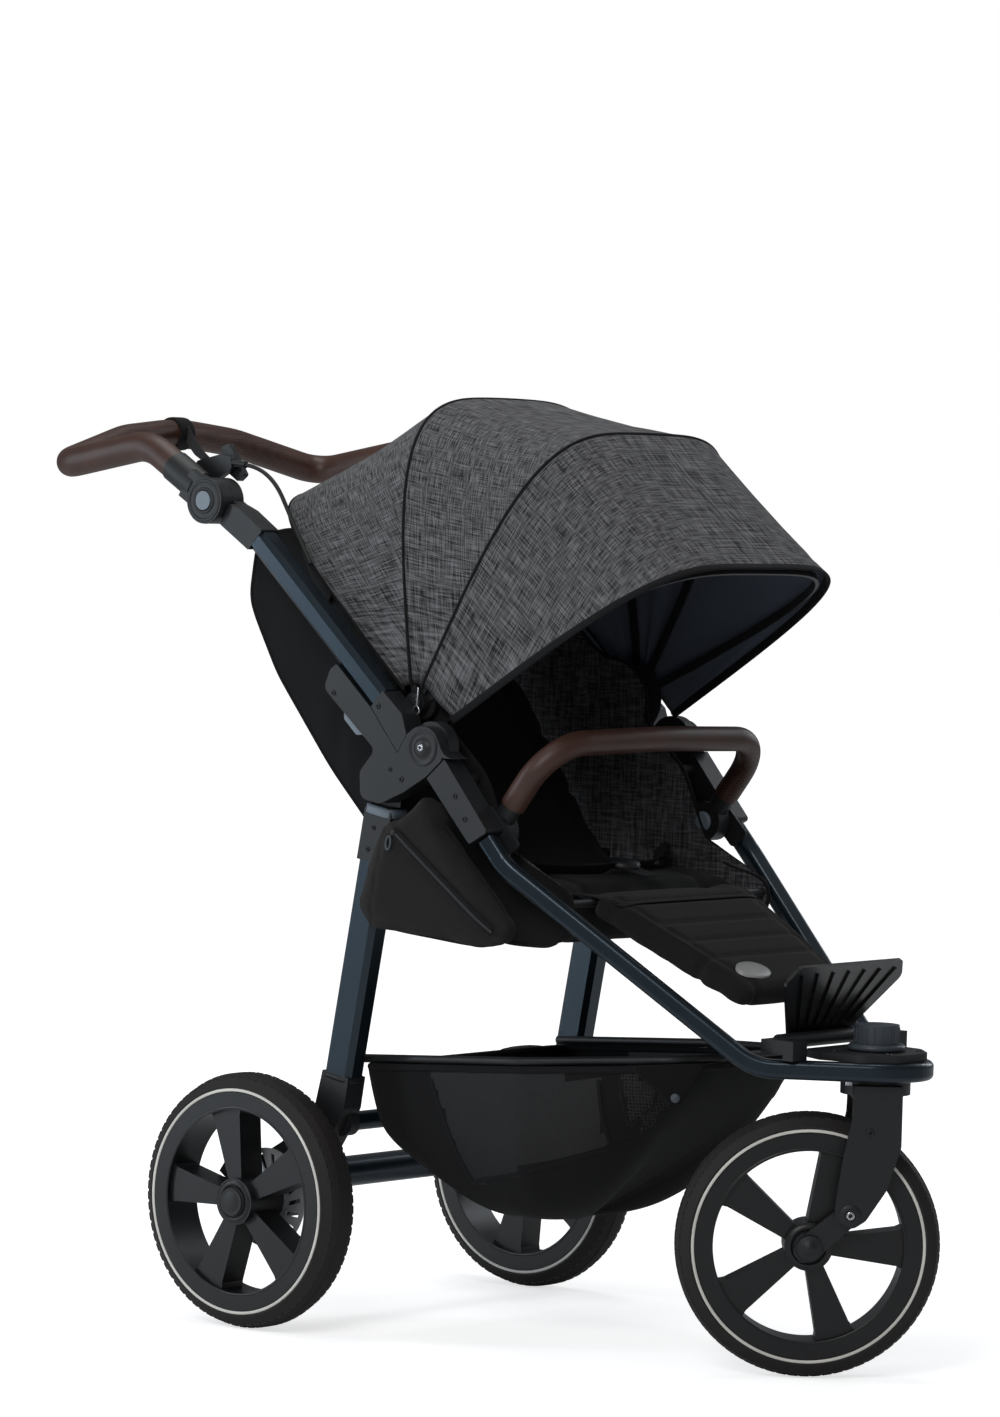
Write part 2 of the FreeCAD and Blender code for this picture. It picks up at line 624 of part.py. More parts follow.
lower_web = plate("pivot_web", "XZ_Plane", PLATE_IN,
                  "Sizes.handle_disc_split - Sizes.plate_inner_face - Sizes.running_gap",
                  [[along(PIVOT, neck_angle, 12, 14), along(PIVOT, neck_angle, 12, -14),
                    along(PIVOT, neck_angle, 36, -14), along(PIVOT, neck_angle, 36, 14)]])
pair("handle_pivots", fuse("pivot_neck_and_disc", [lower_neck, lower_disc, lower_web]))

upper_disc = cylinder("housing_disc", Vector(PIVOT[0], -SPLIT, PIVOT[1]), RIGHT,
                      "1.0 * Sizes.handle_disc_radius", "20")
handle_y = size("handle_half_width")
arm_start = along(PIVOT, ARM_ANGLE, 29.5)
upper_arm = cylinder("housing_arm", Vector(arm_start[0], -handle_y, arm_start[1]),
                     Vector(math.cos(math.radians(ARM_ANGLE)), 0,
                            math.sin(math.radians(ARM_ANGLE))),
                     "Sizes.grip_radius + 1.5", "46.5")
upper_neck = plate("housing_neck", "XZ_Plane", SPLIT, "17",
                   [[along(PIVOT, ARM_ANGLE, 10, -18), along(PIVOT, ARM_ANGLE, 40, -18),
                     along(PIVOT, ARM_ANGLE, 40, 18), along(PIVOT, ARM_ANGLE, 10, 18)]])
button_hole = cylinder("button_hole", Vector(PIVOT[0], -SPLIT - 8, PIVOT[1]), RIGHT,
                       "Sizes.handle_button_radius + Sizes.running_gap", "20")
socket = cylinder("tube_socket", Vector(arm_start[0], -handle_y, arm_start[1]),
                  Vector(math.cos(math.radians(ARM_ANGLE)), 0,
                         math.sin(math.radians(ARM_ANGLE))),
                  "Sizes.handle_tube_radius + 0.1", "60")
socket.Placement = socket.Placement.multiply(Placement(Vector(0, 0, 6), Rotation()))
housing = cut("housing", cut("housing_with_button_hole",
                             fuse("housing_solid", [upper_disc, upper_arm, upper_neck]),
                             button_hole), socket)
pair("grip_housings", housing)

grip_start = along(PIVOT, ARM_ANGLE, 76.3)
tube_start = along(PIVOT, ARM_ANGLE, 36)
BACK = PIVOT[0] - size("handle_reach")
TOP = PIVOT[1] + size("handle_rise")


def handle_route(start):
    """Right housing, rearward arm, arched cross bar, and back to the left housing."""
    bend = along(PIVOT, ARM_ANGLE, 124)
    right_half = [Vector(start[0], -handle_y, start[1]),
                  Vector(bend[0], -handle_y, bend[1]),
                  Vector(BACK + 31, -handle_y, TOP - 44),
                  Vector(BACK + 6, -0.42 * handle_y, TOP - 10)]
    left_half = [Vector(point.x, -point.y, point.z) for point in reversed(right_half)]
    return right_half + [Vector(BACK, 0, TOP)] + left_half


handle_bends = [0, 60, 36, 150, 250, 150, 36, 60, 0]
keep("handle_grip", hollow_sweep("handle_grip", handle_route(grip_start), handle_bends,
                                 "1.0 * Sizes.grip_radius",
                                 "Sizes.handle_tube_radius + 0.15"))
keep("handle_tube", hollow_sweep("handle_tube", handle_route(tube_start), handle_bends,
                                 "1.0 * Sizes.handle_tube_radius",
                                 "Sizes.handle_tube_radius - Sizes.handle_tube_wall"))

handle_button = cylinder("right_handle_button_body",
                         Vector(PIVOT[0], -SPLIT - 8 - size("button_stroke") - 1, PIVOT[1]),
                         RIGHT, "1.0 * Sizes.handle_button_radius", "10.5")
keep("right_handle_button", handle_button)
mirrored("left_handle_button", handle_button)

# Hand brake: a bracket on the inner side of the right housing and a short ribbed lever.
LEVER_PIVOT = (PIVOT[0] - 4, PIVOT[1] + 43)
bracket_block = plate("lever_bracket_plate", "XZ_Plane", PLATE_IN - 9, "8.7",
                      [[(PIVOT[0] - 50, PIVOT[1] + 26, 4), (PIVOT[0] - 14, PIVOT[1] + 26, 4),
                        (PIVOT[0] + 6, PIVOT[1] + 38, 4), (PIVOT[0] + 4, PIVOT[1] + 52, 4),
                        (PIVOT[0] - 14, PIVOT[1] + 54, 4), (PIVOT[0] - 50, PIVOT[1] + 46, 4)]])
lever_pin = cylinder("lever_pin", Vector(LEVER_PIVOT[0], 2 - PLATE_IN + 8 + 9, LEVER_PIVOT[1]),
                     RIGHT, "3", "12")
barrel_start = Vector(PIVOT[0] + 1, -PLATE_IN + 4.6, PIVOT[1] + 45)
barrel = cylinder("cable_barrel", barrel_start, Vector(1, 0, -0.1), "4", "24")
keep("lever_bracket", fuse("lever_bracket", [bracket_block, lever_pin, barrel]))
lever_outline = [(LEVER_PIVOT[0] - 16, LEVER_PIVOT[1] + 20, 3),
                 (LEVER_PIVOT[0] - 4, LEVER_PIVOT[1] + 24, 3),
                 (LEVER_PIVOT[0] + 22, LEVER_PIVOT[1] - 12, 3),
                 (LEVER_PIVOT[0] + 12, LEVER_PIVOT[1] - 20, 3),
                 (LEVER_PIVOT[0] - 10, LEVER_PIVOT[1] - 6, 3)]
keep("brake_lever", plate("brake_lever_body", "XZ_Plane", PLATE_IN - 18, "8.6",
                          [lever_outline], [(LEVER_PIVOT[0], LEVER_PIVOT[1], "3.1")]))


# ---------------------------------------------------------------- front frame

SLEEVE_ANGLE = -size("sleeve_angle")
TUBE_Y = (PLATE_IN + PLATE_OUT) / 2
sleeve_outline = [along(HINGE, SLEEVE_ANGLE, size("sleeve_start") + 1.9, 17) + (1,),
                  along(HINGE, SLEEVE_ANGLE, size("sleeve_end"), 15) + (4,),
                  along(HINGE, SLEEVE_ANGLE, size("sleeve_end") - 6, -15) + (4,),
                  along(HINGE, SLEEVE_ANGLE, size("sleeve_start") + 1.9, -17) + (1,)]
pair("tube_sleeves", plate("tube_sleeve", "XZ_Plane", PLATE_IN, "Sizes.plate_thickness",
                           [sleeve_outline]))

STEER_X = size("steering_x")
NOSE_Z = size("nose_z")
NOSE_MID = size("nose_radius") - 8.5
toe = Vector(615, -115, NOSE_Z)
toe_distance = math.hypot(STEER_X - toe.x, toe.y)
toe_turn = math.atan2(-toe.y, STEER_X - toe.x) - math.asin(NOSE_MID / toe_distance)
run = math.sqrt(toe_distance ** 2 - NOSE_MID ** 2)
arc_end = Vector(toe.x + run * math.cos(toe_turn), toe.y + run * math.sin(toe_turn), NOSE_Z)
nose_tip = Vector(STEER_X + NOSE_MID, 0, NOSE_Z)
end_turn = math.atan2(arc_end.y, arc_end.x - STEER_X)
arc_middle = Vector(STEER_X + NOSE_MID * math.cos(end_turn / 2),
                    NOSE_MID * math.sin(end_turn / 2), NOSE_Z)
tube_top = along(HINGE, SLEEVE_ANGLE, size("sleeve_end") + 1.0)
run_back = [(arc_end, 0), (toe, size("front_bend_radius")),
            (Vector(size("front_bend_x"), -TUBE_Y, size("front_bend_z")),
             size("front_bend_radius")),
            (Vector(tube_top[0], -TUBE_Y, tube_top[1]), 0)]
tube_path = wire_of([Part.Arc(nose_tip, arc_middle, arc_end)] + corner_path(run_back, False))


def tube_section(width, depth, corner):
    half_w = width / 2
    half_d = depth / 2
    corners = [Vector(nose_tip.x + dx, 0, NOSE_Z + dz) for dx, dz in
               ((-half_w, -half_d), (half_w, -half_d), (half_w, half_d), (-half_w, half_d))]
    return wire_of(corner_path([(point, corner) for point in corners], True))


tube_wide = size("front_tube_width")
tube_deep = size("front_tube_depth")
tube_wall = 2 * size("front_tube_wall")
solid_half = tube_path.makePipeShell([tube_section(tube_wide, tube_deep, 6)], True, False)
hollow_half = tube_path.makePipeShell(
    [tube_section(tube_wide - tube_wall, tube_deep - tube_wall, 4)], True, False)
half_tube_shape = solid_half.cut(hollow_half)
other_half = half_tube_shape.mirror(Vector(0, 0, 0), Vector(0, 1, 0))
keep("front_tube", feature("front_tube", half_tube_shape.fuse(other_half)))

tube_low = NOSE_Z - tube_deep / 2
tube_high = NOSE_Z + tube_deep / 2
hub_outline = [(STEER_X + 52, -26, 20), (STEER_X + 52, 26, 20), (STEER_X + 20, 58, 20),
               (STEER_X - 30, 66, 14), (STEER_X - 62, 50, 14), (STEER_X - 62, -50, 14),
               (STEER_X - 30, -66, 14), (STEER_X + 20, -58, 20)]
hub_top = plate("hub_top", "XY_Plane", tube_high + 0.2, "9", [hub_outline])
bearing = cylinder("bearing_block", Vector(STEER_X, 0, tube_low - 1), Vector(0, 0, 1),
                   "Sizes.nose_radius - 20", "Sizes.front_tube_depth + 4")
stem_bore = cylinder("stem_bore", Vector(STEER_X, 0, tube_low - 20), Vector(0, 0, 1),
                     "Sizes.stem_radius + 0.08", "80")
keep("steering_housing", cut("steering_housing",
                             fuse("housing_block", [hub_top, bearing]), stem_bore))
bolt_x = STEER_X + 2
bolts = [cylinder("nose_bolt_%d" % number, Vector(x, y, tube_low - 4.6), Vector(0, 0, 1),
                  "5", "4.4") for number, (x, y) in
         enumerate(((bolt_x, -NOSE_MID), (bolt_x, NOSE_MID)))]
keep("nose_bolts", fuse("nose_bolts", bolts))

KNOB_LOW = tube_high + 9.5
knob_base = cylinder("knob_base", Vector(STEER_X, 0, KNOB_LOW), Vector(0, 0, 1),
                     "1.0 * Sizes.knob_radius", "8")
knob_grip = cylinder("knob_grip", Vector(STEER_X, 0, KNOB_LOW + 7), Vector(0, 0, 1),
                     "1.0 * Sizes.knob_top_radius", "Sizes.knob_height - 7")
keep("lock_knob", fuse("lock_knob", [knob_base, knob_grip]))

# ---------------------------------------------------------------- fork and swing arm

FORK_TOP = tube_low - 1.4
FORK_IN = size("fork_inner_face")
FORK_OUT = FORK_IN + size("fork_thickness")
ARM_PIVOT = (size("arm_pivot_x"), size("arm_pivot_z"))
blade_outline = [(-27, FORK_TOP - 4, 4), (27, FORK_TOP - 4, 4), (27, 262, 18), (12, 214, 26),
                 (-10, 180, 12), (ARM_PIVOT[0], ARM_PIVOT[1] - 17, 12),
                 (ARM_PIVOT[0] - 18, ARM_PIVOT[1] - 2, 12), (-42, 214, 12), (-36, 252, 30),
                 (-28, 292, 12)]
fork_blade = plate("fork_blade", "XZ_Plane", FORK_IN, "Sizes.fork_thickness", [blade_outline])
blade_pin = cylinder("blade_pin", Vector(ARM_PIVOT[0], -FORK_IN - 1, ARM_PIVOT[1]),
                     Vector(0, 1, 0), "5", "8.5")
left_blade = doc.addObject("Part::Mirroring", "left_fork_blade")
left_blade.Source = fuse("blade_with_pin", [fork_blade, blade_pin])
left_blade.Normal = Vector(0, 1, 0)
crown = box("fork_crown", (-27, -FORK_OUT, FORK_TOP - 20), (27, FORK_OUT, FORK_TOP - 4))
crown_ring = cylinder("crown_ring", Vector(0, 0, FORK_TOP - 16), Vector(0, 0, 1), "39", "16")
stem = cylinder("fork_stem", Vector(0, 0, FORK_TOP - 5), Vector(0, 0, 1),
                "1.0 * Sizes.stem_radius", "Sizes.front_tube_depth + 14")
fork = fuse("fork", [left_blade.Source, left_blade, crown, crown_ring, stem])
fork.Placement = STEER
keep("fork", fork)

AXLE_AT = (-size("trail"), size("wheel_radius"))
arm_tilt = math.degrees(math.atan2(AXLE_AT[1] - ARM_PIVOT[1], AXLE_AT[0] - ARM_PIVOT[0]))
arm_outline = [along(ARM_PIVOT, arm_tilt, -13, 12) + (10,), along(AXLE_AT, arm_tilt, 4, 15) + (10,),
               along(AXLE_AT, arm_tilt, 18, 8) + (8,), along(AXLE_AT, arm_tilt, 18, -8) + (8,),
               along(AXLE_AT, arm_tilt, 4, -15) + (10,),
               along(ARM_PIVOT, arm_tilt, -13, -12) + (10,)]
swing = plate("swing_plate", "XZ_Plane", FORK_IN - 0.5 - size("arm_thickness"),
              "Sizes.arm_thickness", [arm_outline], [(ARM_PIVOT[0], ARM_PIVOT[1], "5.1")])
left_swing = doc.addObject("Part::Mirroring", "left_swing_plate")
left_swing.Source = swing
left_swing.Normal = Vector(0, 1, 0)
arm_y = FORK_IN - 0.5
front_axle = cylinder("front_axle_rod", Vector(AXLE_AT[0], arm_y, AXLE_AT[1]), RIGHT,
                      "1.0 * Sizes.axle_radius", "2 * Sizes.fork_inner_face - 1")
heads = [cylinder("front_axle_head_%d" % number, Vector(AXLE_AT[0], y, AXLE_AT[1]),
                  Vector(0, sign, 0), "14", "5")
         for number, (y, sign) in enumerate(((-arm_y, -1), (arm_y, 1)))]
swing_arm = fuse("swing_arm", [swing, left_swing, front_axle] + heads)
swing_arm.Placement = STEER
keep("swing_arm", swing_arm)

# ---------------------------------------------------------------- footplate

FOOT_LOW = (610.0, 366.0)
foot_lean = math.degrees(math.atan2(91, 51))
panel = doc.addObject("PartDesign::Body", "foot_panel")
panel_sketch = add_sketch(panel, "foot_panel_outline", "XY_Plane", 0,
                          [[(-52, 8, 8), (52, 8, 8), (110, 84, 10), (96, 106, 8),
                            (-96, 106, 8), (-110, 84, 10)]])
pad(panel, "foot_panel_pad", panel_sketch, "4")


def foot_ribs(name, offset, low):
    """Seven ribs that fan out over one face of the plate, from low up to its top."""
    ribs = []
    for number in range(7):
        lean = (number - 3) / 3.0
        foot = lean * (40 + 0.6 * (low - 16))
        ribs.append([(foot - 1.6, low), (foot + 1.6, low), (lean * 88 + 1.6, 96),
                     (lean * 88 - 1.6, 96)])
    pad(panel, name + "_pad", add_sketch(panel, name, "XY_Plane", offset, ribs), "3")


foot_ribs("rear_ribs", 3.5, 16)
foot_ribs("front_ribs", -2.5, 26)
panel.Placement = Placement(Vector(FOOT_LOW[0], 0, FOOT_LOW[1]),
                            Rotation(Vector(0, 0, 1), -90).multiply(
                                Rotation(Vector(1, 0, 0), foot_lean)))
bar_at = along(FOOT_LOW, foot_lean, 13, -8.7)
keep("footplate", panel)
foot_bar = cylinder("foot_bar", Vector(bar_at[0], 84, bar_at[1]), RIGHT, "8.5", "168")
foot_clamps = []
for number, side in enumerate((-1, 1)):
    low_y = min(side * 82, side * 108)
    foot_clamps.append(box("foot_clamp_%d" % number, (bar_at[0] - 6, low_y, tube_high + 7.5),
                           (662, low_y + 26, tube_high + 22)))
    foot_clamps.append(box("foot_clamp_foot_%d" % number, (648, low_y, tube_high + 0.1),
                           (662, low_y + 26, tube_high + 9)))
keep("footplate_mount", fuse("footplate_mount", [foot_bar] + foot_clamps))

# ---------------------------------------------------------------- seat

SEAT_W = size("seat_half_width")
base_outline = [(188, 508, 8), (311, 465, 24), (372, 466, 10), (381, 496, 4), (381, 522, 8),
                (330, 533, 10), (212, 538, 10), (194, 530, 4)]
keep("seat_base", plate("seat_base_body", "XZ_Plane", -SEAT_W - 4,
                        "2 * Sizes.seat_half_width + 8", [base_outline]))
wing_outline = [(186, 500, 8), (311, 463, 24), (384, 464, 12), (410, 500, 8), (406, 530, 8),
                (330, 546, 30), (306, 585, 20), (276, 652, 20), (214, 706, 12), (222, 742, 20),
                (188, 762, 20), (120, 762, 40), (-20, 888, 30), (-100, 884, 8), (-90, 837, 20),
                (-43, 754, 60), (43, 649, 60), (100, 592, 30)]
wing = plate("seat_wing", "XZ_Plane", SEAT_W + 4.3, "1.0 * Sizes.wing_thickness", [wing_outline])
pair("seat_wings", wing)
WING_OUT = SEAT_W + 4.3 + size("wing_thickness")
seat_pin = cylinder("seat_bracket", Vector(262, -WING_OUT - 0.1, 648), RIGHT, "7",
                    "Sizes.plate_inner_face - Sizes.seat_half_width - 4.5"
                    " - Sizes.wing_thickness")
pair("seat_brackets", seat_pin)

BACK_PIVOT = (size("backrest_pivot_x"), size("backrest_pivot_z"))
back_angle = size("backrest_angle")
back_outline = [along(BACK_PIVOT, back_angle, -12, 28) + (12,),
                along(BACK_PIVOT, back_angle, -12, -10) + (8,),
                along(BACK_PIVOT, back_angle, 60, -12) + (30,),
                along(BACK_PIVOT, back_angle, 340, -9) + (16,),
                along(BACK_PIVOT, back_angle, size("backrest_length"), 10) + (16,),
                along(BACK_PIVOT, back_angle, size("backrest_length") - 12, 31) + (14,)]
keep("backrest", plate("backrest_body", "XZ_Plane", -SEAT_W, "2 * Sizes.seat_half_width",
                       [back_outline], [(BACK_PIVOT[0], BACK_PIVOT[1], "6.08")]))
ROD_LENGTH = "2 * Sizes.seat_half_width + 8.2"
keep("backrest_rod", cylinder("backrest_rod", Vector(BACK_PIVOT[0], SEAT_W + 4.1, BACK_PIVOT[1]),
                              RIGHT, "6", ROD_LENGTH))

rest_wide = size("leg_rest_half_width")
rest_narrow = size("leg_rest_end_half_width")
rest_pad = plate("leg_rest_body", "XY_Plane", -size("leg_rest_half_thickness"),
             "2 * Sizes.leg_rest_half_thickness",
             [[(-3.5, -rest_wide, 14), (size("leg_rest_length") + 4, -rest_narrow, 22),
               (size("leg_rest_length") + 4, rest_narrow, 22), (-3.5, rest_wide, 14)]])
rest_bore = cylinder("leg_rest_bore", Vector(0, 200, 0), RIGHT, "5.08", "400")
rest = cut("leg_rest", rest_pad, rest_bore)
rest.Placement = Placement(Vector(size("leg_rest_x"), 0, size("leg_rest_z")),
                           turned(-size("leg_rest_angle")))
keep("leg_rest", rest)
keep("leg_rest_rod", cylinder("leg_rest_rod",
                              Vector(size("leg_rest_x"), SEAT_W + 4.1, size("leg_rest_z")),
                              RIGHT, "5", ROD_LENGTH))

# ---------------------------------------------------------------- canopy

HUB = (size("canopy_hub_x"), size("canopy_hub_z"))
LAYER = size("bow_thickness") + size("bow_layer_gap")
REAR_W = size("rear_bow_half_width")
hub_disc_in = WING_OUT + 0.1
hub_disc_out = REAR_W - 3 * LAYER + size("bow_layer_gap") - 0.4
hub_disc = cylinder("canopy_disc", Vector(HUB[0], -hub_disc_in, HUB[1]), RIGHT, "20",
                    "Sizes.rear_bow_half_width - 3 * Sizes.bow_thickness"
                    " - 2 * Sizes.bow_layer_gap - Sizes.seat_half_width - 4.8"
                    " - Sizes.wing_thickness")
hub_pin = cylinder("canopy_pin", Vector(HUB[0], -hub_disc_in - 1, HUB[1]), RIGHT, "5",
                   "Sizes.rear_bow_half_width - Sizes.seat_half_width - 8.4")
hub_cap = cylinder("canopy_cap", Vector(HUB[0], -REAR_W - 0.5, HUB[1]), RIGHT, "11", "3.6")
pair("canopy_hubs", fuse("canopy_hub", [hub_disc, hub_pin, hub_cap]))


def arch(half_width, reach, power, low, steps=40):
    """Points (y, s) of a squared arch, from the right foot at s = low over to the left."""
    start = math.asin(min(1.0, (low / reach) ** (power / 2)))
    points = []
    for step in range(steps + 1):
        turn = start + (math.pi - 2 * start) * step / steps
        across = math.copysign(abs(math.cos(turn)) ** (2 / power), math.cos(turn))
        points.append((-half_width * across, reach * math.sin(turn) ** (2 / power)))
    return points


def arch_curve(points, centre, angle):
    """A smooth curve through arch points set in the plane at angle above +X."""
    turn = math.radians(angle)
    spline = Part.BSplineCurve()
    spline.interpolate([Vector(centre[0] + s * math.cos(turn), y,
                               centre[1] + s * math.sin(turn)) for y, s in points])
    return spline


def canopy_bow(label, layer, angle, reach, power):
    """A flat strip bent over the child with an eye on each hub pin."""
    outer_half = REAR_W - layer * LAYER
    thick = size("bow_thickness")
    half_wide = size("bow_width") / 2
    turn = math.radians(angle)
    normal = Vector(-math.sin(turn), 0, math.cos(turn))
    curves = [arch_curve(arch(outer_half, reach, power, 0), HUB, angle),
              arch_curve(arch(outer_half - thick, reach - thick, power, 0), HUB, angle)]
    edges = [curve.toShape() for curve in curves]
    ends = [Part.makeLine(edges[0].Vertexes[number].Point, edges[1].Vertexes[number].Point)
            for number in (0, 1)]
    face = Part.Face(Part.Wire(Part.__sortEdges__(edges + ends)))
    face.translate(normal * -half_wide)
    strip = feature(label + "_strip", face.extrude(normal * (2 * half_wide)))
    eyes = []
    for number, side in enumerate((-1, 1)):
        eyes.append(cylinder("%s_eye_%d" % (label, number),
                             Vector(HUB[0], side * (outer_half - thick), HUB[1]),
                             Vector(0, side, 0), "13", "1.0 * Sizes.bow_thickness"))
    bore = cylinder(label + "_bore", Vector(HUB[0], 230, HUB[1]), RIGHT, "5.1", "460")
    return keep(label, cut(label, fuse(label + "_blank", [strip] + eyes), bore))


BOW_REACH = size("bow_reach")
canopy_bow("rear_bow", 0, size("rear_bow_angle"), BOW_REACH - 1, 3.7)
canopy_bow("middle_bow", 1, size("middle_bow_angle"), BOW_REACH, 3.8)
canopy_bow("front_bow", 2, size("front_bow_angle"), size("front_bow_reach"), 3.9)


def canopy_panel(label, edges):
    """A thin skin ruled between two arches, each given as (width, reach, power, low,
    centre, angle)."""
    cover = size("cover_thickness")
    rows = []
    for half_width, reach, power, low, centre, angle in edges:
        for inward in (0, cover):
            points = arch(half_width - inward, reach - inward, power, low)
            rows.append(arch_curve(points, centre, angle).toShape())
    first, first_in, second, second_in = rows
    faces = [Part.makeRuledSurface(first, second), Part.makeRuledSurface(first_in, second_in),
             Part.makeRuledSurface(first, first_in), Part.makeRuledSurface(second, second_in)]
    for number in (0, 1):
        corners = [row.Vertexes[number].Point for row in (first, second, second_in, first_in)]
        for a, b, c in ((0, 1, 2), (0, 2, 3)):
            faces.append(Part.Face(Part.makePolygon([corners[a], corners[b], corners[c],
                                                     corners[a]])))
    shell = Part.makeShell(faces)
    shell.sewShape()
    solid = Part.Solid(Part.Shell(shell.Faces))
    if solid.Volume < 0:
        solid.reverse()
    return keep(label, feature(label, solid))


COVER_W = REAR_W + size("cover_clearance") + size("cover_thickness")
REACH = BOW_REACH + 5.5
rear_edge = (COVER_W - 2, REACH - 6, 5.4, 36, HUB, size("cover_rear_angle"))
rear_arch = (COVER_W, REACH - 1, 3.8, 36, HUB, size("rear_bow_angle"))
middle_arch = (COVER_W - LAYER, REACH, 3.9, 36, HUB, size("middle_bow_angle"))
visor_centre = (HUB[0], HUB[1] - size("visor_drop"))
visor_edge = (COVER_W - 2 * LAYER + 0.5, size("visor_reach"), 4.4, 66, visor_centre,
              size("visor_angle"))
canopy_panel("rear_cover", [rear_edge, rear_arch])
canopy_panel("middle_cover", [rear_arch, middle_arch])
canopy_panel("visor_cover", [middle_arch, visor_edge])

# ---------------------------------------------------------------- bumper bar

KNUCKLE = (size("bumper_pivot_x"), size("bumper_pivot_z"))
knuckle_half = 11.5
bar_y = size("bumper_half_width")
clamp_plate = plate("bumper_clamp", "XZ_Plane", bar_y + 12.9,
                    "Sizes.plate_inner_face - Sizes.bumper_half_width - 13.1",
                    [[(288, 604, 6), (308, 622, 6), (352, 578, 6), (330, 560, 6)]])
clamp_pin = cylinder("bumper_pin", Vector(KNUCKLE[0], -bar_y - 14, KNUCKLE[1]),
                     Vector(0, 1, 0), "7", "20")
pair("bumper_clamps", fuse("bumper_clamp_and_pin", [clamp_plate, clamp_pin]))
bar_angle = size("bumper_angle")
bar_start = along(KNUCKLE, bar_angle, size("knuckle_radius") - 2)
bar_end = along(KNUCKLE, bar_angle, size("bumper_reach"))
bow_point = along(KNUCKLE, bar_angle, size("bumper_reach") + 5)


def bumper_route(first):
    return [Vector(first[0], -bar_y, first[1]), Vector(bar_end[0], -bar_y, bar_end[1]),
            Vector(bow_point[0], 0, bow_point[1]), Vector(bar_end[0], bar_y, bar_end[1]),
            Vector(first[0], bar_y, first[1])]


bar_bends = [0, size("bumper_bend_radius"), 900, size("bumper_bend_radius"), 0]
grip_from = along(KNUCKLE, bar_angle, 38)
keep("bumper_grip", hollow_sweep("bumper_grip", bumper_route(grip_from), bar_bends,
                                 "1.0 * Sizes.bumper_grip_radius",
                                 "Sizes.bumper_tube_radius + 0.1"))
keep("bumper_tube", hollow_sweep("bumper_tube", bumper_route(bar_start), bar_bends,
                                 "1.0 * Sizes.bumper_tube_radius",
                                 "Sizes.bumper_tube_radius - 1.5"))
knuckle_body = cylinder("knuckle_disc", Vector(KNUCKLE[0], knuckle_half - bar_y, KNUCKLE[1]),
                        RIGHT, "1.0 * Sizes.knuckle_radius", "23")
knuckle_bore = cylinder("knuckle_bore", Vector(KNUCKLE[0], knuckle_half - bar_y - 5, KNUCKLE[1]),
                        RIGHT, "7.08", "23")
ferrule = cylinder("ferrule", Vector(KNUCKLE[0], -bar_y, KNUCKLE[1]),
                   Vector(math.cos(math.radians(bar_angle)), 0,
                          math.sin(math.radians(bar_angle))), "12.5", "37.8")
tube_socket = cylinder("ferrule_socket", Vector(bar_start[0], -bar_y, bar_start[1]),
                       Vector(math.cos(math.radians(bar_angle)), 0,
                              math.sin(math.radians(bar_angle))),
                       "Sizes.bumper_tube_radius + 0.05", "60")
pair("bumper_knuckles", cut("knuckle", fuse("knuckle_blank", [knuckle_body, ferrule]),
                            fuse("knuckle_tools", [knuckle_bore, tube_socket])))

# ---------------------------------------------------------------- basket and pouch


def inset(outline, distance):
    """The polygon with every side moved inward (corners listed counter-clockwise)."""
    moved = []
    count = len(outline)
    for index in range(count):
        before = outline[index - 1]
        here = outline[index]
        after = outline[(index + 1) % count]
        normals = []
        for start, end in ((before, here), (here, after)):
            length = math.hypot(end[0] - start[0], end[1] - start[1])
            normals.append(((start[1] - end[1]) / length, (end[0] - start[0]) / length))
        (ax, ay), (bx, by) = normals
        scale = distance / (1 + ax * bx + ay * by)
        radius = tuple(max(value - distance, 0.5) for value in here[2:])
        moved.append((here[0] + (ax + bx) * scale, here[1] + (ay + by) * scale) + radius)
    return moved


basket_w = size("basket_half_width")
side_view = [(112, 229, 24), (148, 168, 30), (200, 140, 20), (272, 140, 30), (342, 178, 30),
             (450, 243, 40), (512, 322, 14), (530, 340), (100, 310)]
plan_view = [(96, -basket_w, 20), (330, -basket_w, 60), (500, 6 - basket_w * 0.68, 40),
             (536, -70, 30), (536, 70, 30), (500, basket_w * 0.68 - 6, 40),
             (330, basket_w, 60), (96, basket_w, 20)]


def basket_blank(name, distance):
    side = inset(side_view, distance)
    if distance:
        side[-2] = (side[-2][0] + 3, side[-2][1] + 40)
        side[-1] = (side[-1][0] - 3, side[-1][1] + 40)
    prism = plate(name + "_side", "XZ_Plane", -200, "400", [side])
    footprint = plate(name + "_plan", "XY_Plane", 120, "320", [inset(plan_view, distance)])
    both = doc.addObject("Part::MultiCommon", name)
    both.Shapes = [prism, footprint]
    return both


keep("basket", cut("basket", basket_blank("basket_outer", 0),
                   basket_blank("basket_inner", size("basket_wall"))))
rod = size("basket_rod_radius")
rod_rise = 30.0 / 430.0


def rod_point(x, y):
    return Vector(x, y, 310 + (x - 100) * rod_rise + rod + 0.3)


rod_points = [rod_point(101, -basket_w + 7), rod_point(330, -basket_w + 7),
              rod_point(496, -basket_w * 0.68 + 12), rod_point(528, -66), rod_point(528, 66),
              rod_point(496, basket_w * 0.68 - 12), rod_point(330, basket_w - 7),
              rod_point(101, basket_w - 7)]
keep("basket_rod", sweep("basket_rod", rod_points, [0, 60, 40, 20, 20, 40, 60, 0],
                         "1.0 * Sizes.basket_rod_radius"))

